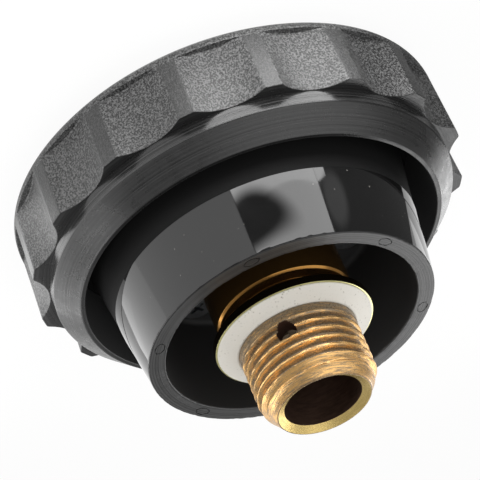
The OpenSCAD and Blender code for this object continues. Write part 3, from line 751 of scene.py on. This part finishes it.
cupMesh = turned("skirt_cup", softened([
    (cup["hubBore"], cup["hubLow"], 0.15), (cup["hubRadius"], cup["hubLow"], 0.4),
    (cup["hubRadius"], cup["underFloor"], 0.5), (cup["skirtLow"] - cup["wall"], cup["underFloor"], 0.9),
    (cup["skirtLow"] - cup["wall"], cup["footLow"], 0.3), (cup["footRadius"], cup["footLow"], 0.2),
    (cup["footRadius"], cup["footTop"], 0.2), (cup["skirtLow"] - cup["glossStep"], cup["footTop"], 0.2),
    (skirtAt(cup["glossFrom"]) - cup["glossStep"], cup["glossFrom"]),
    (skirtAt(cup["glossFrom"]), cup["glossFrom"], 0.05),
    *[(skirtAt(rimTop - depth), rimTop - depth) for depth in (0.8, 0.5)],  # rows that end the chips
    (cup["rimRadius"], rimTop, cup["edge"]), (cup["rimInner"], rimTop, cup["edge"]),
    *[(cup["rimInner"] - inset, rimTop - depth) for inset, depth in ((0.01, 0.6), (0.02, 1.1))],
    (cup["floorRadius"], cup["floorHeight"], 0.9), (cup["hubBore"], cup["floorHeight"])]), cup["columns"])


def chipEdges(mesh):  # small breaks along both edges of the turned rim
    chance = np.random.default_rng(cup["chipSeed"])
    count = len(mesh.vertices)
    spots = np.zeros(count * 3)
    mesh.vertices.foreach_get("co", spots)
    spots = spots.reshape(-1, 3)
    radius, angle = np.hypot(spots[:, 0], spots[:, 1]) / mm, np.arctan2(spots[:, 1], spots[:, 0])
    depth = rimTop - spots[:, 2] / mm
    reach = cup["chipReach"]
    for edge, (outwards, chips, largest) in cup["chips"].items():
        near = np.clip(1 - np.abs(radius - cup[edge]) / reach, 0, 1) * np.clip(1 - depth / reach, 0, 1)
        shift = np.zeros(count)
        for _ in range(chips):
            away = np.abs((angle - chance.uniform(-math.pi, math.pi) + math.pi) % (2 * math.pi) - math.pi)
            width = math.radians(chance.uniform(*cup["chipWidth"]))
            size = chance.uniform(cup["chipSmallest"], largest)
            shift = np.maximum(shift, size * np.clip(1 - away / width, 0, 1) ** 0.5)
        spots[:, :2] *= (1 + outwards * shift * near / radius)[:, None]
        spots[:, 2] -= 0.5 * shift * near * mm
    mesh.vertices.foreach_set("co", spots.ravel())


def earPlan():  # outline of the clutch ring's seat: a disc with three round ears
    plan = []
    meet = math.asin(cup["earRadius"] / cup["ringRadius"])
    for k in range(3):
        middle = 2 * math.pi * k / 3
        cosine, sine = math.cos(middle), math.sin(middle)
        for a in np.linspace(-math.pi / 2, math.pi / 2, 13):
            x, y = cup["earCircle"] + cup["earRadius"] * math.cos(a), cup["earRadius"] * math.sin(a)
            plan.append((x * cosine - y * sine, x * sine + y * cosine))
        for a in np.linspace(middle + meet, middle + 2 * math.pi / 3 - meet, 24):
            plan.append((cup["ringRadius"] * math.cos(a), cup["ringRadius"] * math.sin(a)))
    return plan


def roundTool(name, radius, low, high, columns):  # a straight round cutter on the axis
    return turned(name, [(0, low), (radius, low), (radius, high), (0, high)], columns, closed=False)


def gateOval(name, extra, low):  # ragged oval where a runner was broken off
    across, along = cup["gateSize"][1] + extra, cup["gateSize"][0] + extra
    plan = [(rimMiddle + across * math.cos(a) * (1 + 0.06 * math.sin(5 * a + 1 + 9 * extra)),
             along * math.sin(a) * (1 + 0.05 * math.sin(7 * a)))
            for a in np.linspace(0, 2 * math.pi, 37)[:-1]]
    return prism(name, plan, low, rimTop + 1)


chipEdges(cupMesh)
cupMesh = carve(cupMesh, prism("seat", earPlan(), cup["earDepthAt"], cup["cutTop"]))
washerSeat = roundTool("washerSeat", cup["washerRadius"], cup["washerDepthAt"], cup["cutTop"], columns=96)
cupMesh = carve(cupMesh, washerSeat)
screwHole = roundTool("screwHole", cup["screwHole"], cup["cutLow"], cup["cutTop"], columns=32)
cupMesh = carve(cupMesh, repeated(moved(screwHole, (cup["earCircle"], 0, 0)), 3, finish["cup"]))
gateMark = carve(gateOval("gateMark", 0.0, rimTop - cup["gateDepth"]),
                 gateOval("island", -cup["gateWall"], rimTop - 1))
cupMesh = carve(cupMesh, repeated(moved(gateMark, turn=cup["gateTurn"]), cup["gateMarks"], finish["rim"]))
weld(cupMesh)
addPiece("skirt_cup_moulding", smoothed(cupMesh), "knob", "cup_plastic", "skirt_cup",
         finish["hollow"], finish["cup"], finish["rim"], finish["pocket"])
x, y, height = faceMiddles(cupMesh)
radius = np.hypot(x, y)
skirt = np.where(radius < cup["rimInner"] + 1.0, 0, np.where(height > cup["glossFrom"], 1, 3))
faced = (height > rimTop - 0.5) & (radius > cup["rimInner"] + 0.03) & (radius < cup["rimRadius"] - 0.06)
onRim = faced | (height > rimTop - 0.08)
inMark = np.abs(height - rimTop + cup["gateDepth"] / 2) < 0.02
markWall = onRim & inMark & (np.abs(radius - rimMiddle) < cup["gateSize"][1] * 1.15)
# index 3 on the foot and on the walls of the gate marks is painted shade
cupMesh.polygons.foreach_set("material_index", np.where(markWall, 3, np.where(onRim, 2, skirt)))


# Plug, sizes in mm and degrees

print("plug")
plug = {
    "spindleLow": 9.35, "spindleRadius": 5.0, "clipGroove": 4.5, "clipLow": 10.05, "clipHigh": 10.85,
    "screwHole": 1.55, "bodyLow": 27.0, "bodyRadius": 12.1, "neckLow": 35.1, "bodyChamfer": 0.38,
    "neckRadius": 9.6, "flangeLow": 38.1, "flangeRadius": 14.0, "flangeTop": 39.6,
    "reliefRadius": 9.3, "sealTop": 41.2, "runOutRadius": 10.42, "runOut": (42.3, 43.5),
    "leadLow": 51.47, "leadRadius": 8.33, "stemTop": 54.67, "mouthEdge": 0.15, "mouthDepth": 0.85,
    "boreRadius": 6.83, "boreLow": 38.6, "chamberRadius": 5.6, "chamberLow": 29.9,
    "dogs": 12, "dogAngle": 12.5, "dogInner": 8.7, "dogOuter": 11.6, "dogLow": 25.0, "dogGap": 0.02,
    "traceShare": 0.1,  # how much of the thread still shows on the lead's taper
    "shadeBelow": 45.0,
}
thread = {
    "radius": 10.4775, "pitch": 1.8143, "flank": 27.5, "round": 0.2491, "phase": 0.48, "rowStep": 0.1,
    "wear": 0.05, "mostWear": 0.14, "waves": 16, "waveSeed": 5,
}
ventHole = {"radius": 1.72, "height": 44.6, "angle": 3.4, "inner": 6.0, "outer": 12.0, "columns": 48}
ports = {"radius": 1.1, "height": 36.6, "angle": 45.0, "inner": 5.0, "outer": 10.5, "columns": 32, "count": 4}


def plugColumns():  # angles round the plug, close together at the sides of the dogs
    step, half = 360 / plug["dogs"], plug["dogAngle"] / 2
    gap = 0.06
    one = np.array([*np.linspace(-step / 2, -half - gap, 6), *np.linspace(-half + gap, half - gap, 9),
                    *np.linspace(half + gap, step / 2, 6)[:-1]])
    return np.radians(np.concatenate([one + step / 2 + k * step for k in range(plug["dogs"])]))


def threadRadius(angle, z):  # pipe thread with rounded crests and roots, right-handed
    turnShare = (z / thread["pitch"] - angle / (2 * math.pi) + thread["phase"]) % 1
    away = np.minimum(turnShare, 1 - turnShare) * thread["pitch"]
    flank, rounding = math.radians(thread["flank"]), thread["round"]
    crestEnd = rounding * math.cos(flank)
    halfPitch = thread["pitch"] / 2
    drop = rounding * (1 - math.sin(flank))
    middle = (halfPitch - 2 * crestEnd) / math.tan(flank)
    crest = rounding - np.sqrt(np.maximum(rounding ** 2 - away ** 2, 0))
    slope = drop + (away - crestEnd) / math.tan(flank)
    root = 2 * drop + middle - (rounding - np.sqrt(np.maximum(rounding ** 2 - (halfPitch - away) ** 2, 0)))
    depth = np.where(away < crestEnd, crest, np.where(away < halfPitch - crestEnd, slope, root))
    return thread["radius"] - depth


def threadRows(angle):  # worn crests, a run-out at the seal and a tapered lead at the mouth
    chance = np.random.default_rng(thread["waveSeed"])
    waves = [(chance.integers(2, 26), chance.uniform(-4, 4), chance.uniform(0, 6.3))
             for _ in range(thread["waves"])]
    slope = (thread["radius"] - plug["leadRadius"]) / (plug["stemTop"] - plug["leadLow"])
    fadeFrom, fadeTo = plug["runOut"]
    rows = []
    for z in np.arange(plug["sealTop"] + 0.06, plug["stemTop"] - 0.03, thread["rowStep"]):
        wear = sum(np.cos(n * angle + k * z + p) for n, k, p in waves) / (thread["waves"] / 2)
        crest = thread["radius"] - np.clip(thread["wear"] * (1 + wear), 0.0, thread["mostWear"])
        cutShare = np.clip((z - fadeFrom) / (fadeTo - fadeFrom), 0, 1)
        full = threadRadius(angle, z) - plug["runOutRadius"]
        cutTo = np.minimum(crest, plug["runOutRadius"] + full * cutShare)
        end = thread["radius"] - slope * (z - plug["leadLow"])
        trace = plug["traceShare"] * (thread["radius"] - cutTo)
        rows.append((np.minimum(cutTo, end - trace), np.full(len(angle), z)))
    return rows


def plugGrid():
    angle = plugColumns()
    ones = np.ones(len(angle))
    dogStep = math.radians(360 / plug["dogs"])
    onDog = np.abs((angle % dogStep) - dogStep / 2) < math.radians(plug["dogAngle"] / 2)
    dogZ = np.where(onDog, plug["dogLow"], plug["bodyLow"])
    spindle = softened([
        (plug["screwHole"], plug["spindleLow"]), (plug["spindleRadius"], plug["spindleLow"], 0.3),
        (plug["spindleRadius"], plug["clipLow"]), (plug["clipGroove"], plug["clipLow"]),
        (plug["clipGroove"], plug["clipHigh"]), (plug["spindleRadius"], plug["clipHigh"]),
        (plug["spindleRadius"], plug["bodyLow"], 0.3),
        (plug["dogInner"] - plug["dogGap"], plug["bodyLow"])], closed=False)
    body = softened([
        (plug["dogOuter"] + plug["dogGap"], plug["bodyLow"]), (plug["bodyRadius"], plug["bodyLow"], 0.15),
        (plug["bodyRadius"], plug["neckLow"] - plug["bodyChamfer"], 0.1),
        (plug["bodyRadius"] - plug["bodyChamfer"], plug["neckLow"], 0.1),
        (plug["neckRadius"], plug["neckLow"], 0.08), (plug["neckRadius"], plug["flangeLow"], 0.08),
        (plug["flangeRadius"], plug["flangeLow"], 0.12), (plug["flangeRadius"], plug["flangeTop"], 0.05),
        (plug["reliefRadius"], plug["flangeTop"]), (plug["reliefRadius"], plug["sealTop"]),
        (plug["runOutRadius"], plug["sealTop"])], closed=False)
    bore = softened([
        (plug["leadRadius"] + 0.06, plug["stemTop"] - 0.09), (plug["leadRadius"], plug["stemTop"], 0.04),
        (plug["leadRadius"] - plug["mouthEdge"], plug["stemTop"], 0.04),
        (plug["boreRadius"], plug["stemTop"] - plug["mouthDepth"], 0.1),
        (plug["boreRadius"], plug["boreLow"]), (plug["chamberRadius"], plug["boreLow"]),
        (plug["chamberRadius"], plug["chamberLow"], 0.3),
        (plug["screwHole"], plug["chamberLow"])], closed=False)
    rows = [(r * ones, z * ones) for r, z in spindle]
    rows += [(plug["dogInner"] * ones, dogZ), (plug["dogOuter"] * ones, dogZ)]
    rows += [(r * ones, z * ones) for r, z in body]
    rows += threadRows(angle)
    rows += [(r * ones, z * ones) for r, z in bore]
    r, z = (np.array(v) for v in zip(*rows))
    return np.stack([r * np.cos(angle), r * np.sin(angle), z], axis=-1)


def radialTool(name, hole):  # a round cutter that points away from the axis
    tool = roundTool(name, hole["radius"], hole["inner"], hole["outer"], hole["columns"])
    return moved(moved(tool, (0, 0, hole["height"]), 90, "Y"), turn=hole["angle"])


plugMesh = skin("plug_body", plugGrid(), wrapRows=True)
plugMesh = carve(plugMesh, radialTool("vent", ventHole))
plugMesh = carve(plugMesh, repeated(radialTool("port", ports), ports["count"], finish["brass"]))
weld(plugMesh)
addPiece("plug_turning", smoothed(plugMesh), "plug", "brass", "plug_body",
         finish["brass"], finish["bore"], finish["vent"])
x, y, height = faceMiddles(plugMesh)
radius = np.hypot(x, y)
ventTurn = math.radians(ventHole["angle"])
fromVent = np.hypot(y * math.cos(ventTurn) - x * math.sin(ventTurn), height - ventHole["height"])
inVent = (fromVent < ventHole["radius"] * 1.04) & (x > 0) & (radius < thread["radius"] - 0.1)
inBore = (radius < plug["boreRadius"] + 0.04) & (height > plug["chamberLow"] - 0.1)
# the vent hole and the bore below the given height take painted shade
shadeZones = np.where(inVent | inBore, 2, 0)
plugMesh.polygons.foreach_set("material_index", np.where(inBore & (height > plug["shadeBelow"]), 1, shadeZones))


# Sealing ring, sizes in mm

print("sealing ring")
seal = {
    "inner": 9.32, "low": 39.6, "edgeRadius": 13.72, "edgeTop": 39.82, "coneRadius": 10.75, "coneTop": 41.15,
    "crownRadius": 10.5, "crownTop": 41.17, "stepRadius": 10.45, "top": 41.1,
}
sealMesh = turned("sealing_ring", softened([
    (seal["inner"], seal["low"]), (seal["edgeRadius"], seal["low"], 0.05),
    (seal["edgeRadius"], seal["edgeTop"], 0.1), (seal["coneRadius"], seal["coneTop"], 0.35),
    (seal["crownRadius"], seal["crownTop"], 0.05), (seal["stepRadius"], seal["top"]),
    (seal["inner"], seal["top"], 0.1)]))
addPiece("sealing_ring_turning", smoothed(sealMesh), "plug", "white_ptfe", "sealing_ring", finish["seal"])


# Springs, lengths in mm

print("springs")
returnCoil = {
    "lengths": {"Coil Radius": 6.85, "Wire Radius": 0.4, "Low": 20.07, "High": 26.58},
    "Points": 200, "Turns": 4.0, "Flat Share": 0.09,
}
valveCoil = {
    "lengths": {"Coil Radius": 2.98, "Wire Radius": 0.3, "Low": 31.62, "High": 35.08},
    "Points": 160, "Turns": 3.5, "Flat Share": 0.1,
}


def coilSpring(coil):
    values = {label: length * mm for label, length in coil["lengths"].items()}
    values.update({label: coil[label] for label in ("Points", "Turns", "Flat Share")})
    values["Finish"] = finish["spring"]
    mesh = fromTree(bpy.data.meshes.new("coil"), coilTree, coilKeys, values)
    weld(mesh)
    return smoothed(mesh, angle=50)


returnSpring = addPiece("return_spring_coil", coilSpring(returnCoil), "plug", "spring_steel", "return_spring",
                        finish["spring"])
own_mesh(returnSpring)
valveSpring = addPiece("valve_spring_coil", coilSpring(valveCoil), "plug", "spring_steel", "valve_spring",
                       finish["spring"])
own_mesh(valveSpring)


# The pieces that keep their CAD shape

print("inner pieces")
keptFinishes = {
    "clutch_ring": "steel", "cup_screws": "zinc", "thrust_washer": "seal", "hub_bush": "bronze",
    "bush_clip": "spring", "valve_seat": "brass", "seat_o_ring": "rubber", "seat_ring_nut": "brass",
    "spring_plate": "stainless", "adjusting_screw": "zinc", "lock_nut": "zinc", "stop_washer": "zinc",
    "spindle_clip": "spring", "valve_piston": "stainless", "valve_seal": "rubber",
}
for name, key in keptFinishes.items():
    for slot in nodes[name].material_slots:
        slot.material = finish[key]


# Floor, world, lamps and cards

print("studio")
studio = {
    "floorSize": 6.0,    # m
    "floorGap": 0.05,    # mm under the cap
    "floorWhite": 0.93,  # how much of the paper's white is glow
    "skyLevel": 0.45,
}


def addFloor():  # white paper that glows when looked at and still takes a little shadow
    half, drop = studio["floorSize"] / 2, -studio["floorGap"] * mm
    mesh = bpy.data.meshes.new("floor")
    corners = [(-half, -half, drop), (half, -half, drop), (half, half, drop), (-half, half, drop)]
    mesh.from_pydata(corners, [], [(0, 1, 2, 3)])
    material, tree = emptyMaterial("paperFloor")
    rays = addNode(tree, "ShaderNodeLightPath").outputs
    seen = rays["Is Camera Ray"]
    for kind in ("Is Glossy Ray", "Is Transmission Ray"):
        seen = addNode(tree, "ShaderNodeMath", {"operation": "MAXIMUM"}, {0: seen, 1: rays[kind]}).outputs[0]
    share = addNode(tree, "ShaderNodeMath", {"operation": "MULTIPLY"}, {0: seen, 1: studio["floorWhite"]})
    paper = addNode(tree, "ShaderNodeBsdfDiffuse", None, {"Color": linear("#f4f4f2")})
    glow = addNode(tree, "ShaderNodeEmission", None, {"Color": (1, 1, 1, 1), "Strength": 1.0})
    mixed = addNode(tree, "ShaderNodeMixShader", None,
                    {0: share.outputs[0], 1: paper.outputs[0], 2: glow.outputs[0]})
    addNode(tree, "ShaderNodeOutputMaterial", None, {"Surface": mixed.outputs[0]})
    mesh.materials.append(material)
    addObject("floor", mesh)


def addSky():
    world = bpy.data.worlds.new("studio")
    bpy.context.scene.world = world
    world.use_nodes = True
    world.node_tree.nodes.clear()
    sky = addNode(world.node_tree, "ShaderNodeBackground", None,
                  {"Color": (1, 1, 1, 1), "Strength": studio["skyLevel"]})
    addNode(world.node_tree, "ShaderNodeOutputWorld", None, {"Surface": sky.outputs[0]})


# Places and sizes in mm, in the cap's own frame. A level of 1 shows as white.
lamps = {
    # the window, its lower strip and its corner, which the skirt mirrors
    "window": {"place": (72.3, -34.9, 13), "facing": (-0.866, 0.5, 0), "along": (0.5, 0.866, 0),
               "size": (76.5, 22), "level": 6.6},
    "windowLow": {"place": (73.6, -35.6, 5.4), "facing": (-0.866, 0.5, 0), "along": (0.5, 0.866, 0.08),
                  "size": (76.5, 9.5), "level": 3.0},
    "windowCorner": {"place": (50, -73.6, 3.4), "facing": (-0.866, 0.5, 0), "along": (0.5, 0.866, 0.08),
                     "size": (13, 6), "level": 9.0},
    # light that the paper throws up on the cap
    "floorGlow": {"place": (49, -28, 0.6), "facing": (0, 0, 1), "along": (0.533, 0.846, 0),
                  "size": (56, 16), "level": 6.0},
    "floorFar": {"place": (-50, 52, 0.6), "facing": (0, 0, 1), "along": (1, 0, 0),
                 "size": (80, 60), "level": 0.2},
    "floorLeft": {"place": (2, 53, 0.6), "facing": (0, 0, 1), "along": (-0.96, 0.28, 0),
                  "size": (44, 18), "level": 1.6},
    # light for the upper flanks of the thread, the mouth and the left of the band
    "threadPanel": {"place": (12, 75, 58), "facing": (-0.1, -1, 0), "along": (-1, 0.1, 0),
                    "size": (80, 17), "level": 4.0},
    # panels beside the cap that model the scoops, the shoulder and the band
    "leftPanel": {"place": (63.1, 32.2, 18), "facing": (-0.64, -0.768, 0), "along": (-0.768, 0.64, 0),
                  "size": (105, 36), "level": 1.5},
    "leftFar": {"place": (-9, 69.7, 16), "facing": (-0.126, -0.992, 0), "along": (-0.992, 0.126, 0),
                "size": (64, 32), "level": 2.0},
    "edgePanel": {"place": (-60, -52, 8), "facing": (0.6, 0.8, 0), "along": (-0.8, 0.6, 0),
                  "size": (40, 24), "level": 0.9},
    "bandPanel": {"place": (-90, -60, 12), "facing": (0.83, 0.55, 0), "along": (-0.55, 0.83, 0),
                  "size": (50, 24), "level": 2.4},
    # soft light from behind and above
    "behindLow": {"place": (-100, -38, 60), "facing": (0.92, 0.4, 0), "along": (-0.4, 0.92, 0),
                  "size": (70, 34), "level": 0.9},
    "leftHigh": {"place": (-45, 75, 62), "facing": (0.5, -0.85, 0), "along": (0.85, 0.5, 0),
                 "size": (60, 40), "level": 1.0},
    "overhead": {"place": (150, -250, 330), "facing": (-0.33, 0.56, -0.75), "along": (1, 0, 0),
                 "size": (520, 520), "level": 1.05},
    "behind": {"place": (-95, -30, 103), "facing": (0.84, 0, -0.54), "along": (0, 1, 0),
               "size": (75, 60), "level": 2.5},
}
# Cards that only glossy surfaces see, painted reflections and shade, in mm: middle, two directions and
# outline. Fade is the half length and the far end's share of the level, oval the half sizes of a soft patch.
cards = {
    "darkCard": {"middle": (5, -52, 0), "along": (-1, 0, 0), "rising": (0, 0, 1), "level": 0.34,
                 "outline": [(-31.5, 0), (39, 0), (17, 32), (-39, 32), (-39, 13.6), (-31.5, 13.6)],
                 "fade": (39, 0.35)},  # the dark room
    "dimCard": {"middle": (34.5, -51.2, 18.6), "along": (-1, 0, 0), "rising": (0, 0, 1), "level": 1.15,
                "outline": [(-10, -7), (10, -7), (10, 7), (-10, 7)], "oval": (8.6, 5.8)},  # a dim panel in it
    "floorCard": {"middle": (0, -50, 0.3), "along": (1, 0, 0), "rising": (0, 1, 0), "level": 0.3,
                  "outline": [(-30, -14), (30, -14), (30, 16), (-30, 16)]},  # painted shade on the floor beside the cap, seen only in reflections
    "roundCard": {"middle": (86.1, -8.0, 13.6), "along": (-0.4986, -0.8636, 0.0755), "rising": (0, 0, 1),
                  "level": 0.22, "outline": [(-8, -8.5), (45, -8.5), (45, 8.5), (-8, 8.5)],
                  "oval": (41, 5.9)},  # a round shadow before the window
}
pocketCards = {"radius": 31.2, "low": 20.3, "high": 23.9, "level": 1.1,
               "leftPocketCard": (62, 112), "rightPocketCard": (-112, -91)}  # mm and degrees round the axis


def cardMaterial(name, level, oval=None, fade=None):  # glows to its front and is clear from behind
    material, tree = emptyMaterial(name)
    glow = addNode(tree, "ShaderNodeEmission", None, {"Strength": level})
    through = addNode(tree, "ShaderNodeNewGeometry").outputs["Backfacing"]
    place = addNode(tree, "ShaderNodeTexCoord").outputs["Object"]
    if fade:
        reach, share = fade
        split = addNode(tree, "ShaderNodeSeparateXYZ", None, {0: place})
        addNode(tree, "ShaderNodeMapRange", None,
                {"Value": split.outputs[0], "From Min": -reach * mm, "From Max": reach * mm,
                 "To Min": level, "To Max": level * share}, to=glow.inputs["Strength"])
    if oval:
        scaled = addNode(tree, "ShaderNodeVectorMath", {"operation": "DIVIDE"},
                         {0: place, 1: (oval[0] * mm, oval[1] * mm, 1.0)})
        size = addNode(tree, "ShaderNodeVectorMath", {"operation": "LENGTH"}, {0: scaled.outputs[0]})
        edge = addNode(tree, "ShaderNodeMapRange", {"interpolation_type": "SMOOTHSTEP"},
                       {"Value": size.outputs["Value"], "From Min": 0.6, "From Max": 1.15})
        through = addNode(tree, "ShaderNodeMath", {"operation": "MAXIMUM"},
                          {0: through, 1: edge.outputs["Result"]}).outputs[0]
    clear = addNode(tree, "ShaderNodeBsdfTransparent")
    mixed = addNode(tree, "ShaderNodeMixShader", None, {0: through, 1: glow.outputs[0], 2: clear.outputs[0]})
    addNode(tree, "ShaderNodeOutputMaterial", None, {"Surface": mixed.outputs[0]})
    return material


def placeCard(name, points, faces, material, matrix):
    mesh = bpy.data.meshes.new(name)
    mesh.from_pydata(points, [], faces)
    mesh.materials.append(material)
    card = addObject(name, mesh)
    card.matrix_world = matrix
    card.visible_camera = card.visible_diffuse = card.visible_shadow = False


def addCards():
    for name, card in cards.items():
        along = Vector(card["along"]).normalized()
        normal = along.cross(Vector(card["rising"])).normalized()
        matrix = Matrix.Translation(Vector(card["middle"]) * mm) @ Matrix(
            (along, normal.cross(along), normal)).transposed().to_4x4()
        points = [(u * mm, v * mm, 0) for u, v in card["outline"]]
        material = cardMaterial(name, card["level"], card.get("oval"), card.get("fade"))
        placeCard(name, points, [tuple(range(len(points)))], material, matrix)
    glow = cardMaterial("pocketGlow", pocketCards["level"])
    reach = pocketCards["radius"]
    for name in ("leftPocketCard", "rightPocketCard"):  # strips inside the lip that lighten the skirt's ends
        angles = np.radians(np.linspace(*pocketCards[name], 14))
        points = [(reach * math.cos(a) * mm, reach * math.sin(a) * mm, z * mm)
                  for a in angles for z in (pocketCards["low"], pocketCards["high"])]
        faces = [(2 * i, 2 * i + 1, 2 * i + 3, 2 * i + 2) for i in range(len(angles) - 1)]
        placeCard(name, points, faces, glow, Matrix.Identity(4))


def addLamps():
    for name, lamp in lamps.items():
        data = bpy.data.lights.new(name, "AREA")
        data.shape = "RECTANGLE"
        data.size, data.size_y = (size * mm for size in lamp["size"])
        data.energy = lamp["level"] * math.pi * data.size * data.size_y
        away = -Vector(lamp["facing"]).normalized()
        along = Vector(lamp["along"])
        along = (along - along.dot(away) * away).normalized()
        aim = Matrix((along, away.cross(along), away)).transposed().to_4x4()
        light = addObject(name, data)
        light.matrix_world = Matrix.Translation(Vector(lamp["place"]) * mm) @ aim
        light.visible_camera = False


addFloor()
addSky()
addLamps()
addCards()
bpy.context.scene.view_settings.view_transform = "Standard"

print("finished")
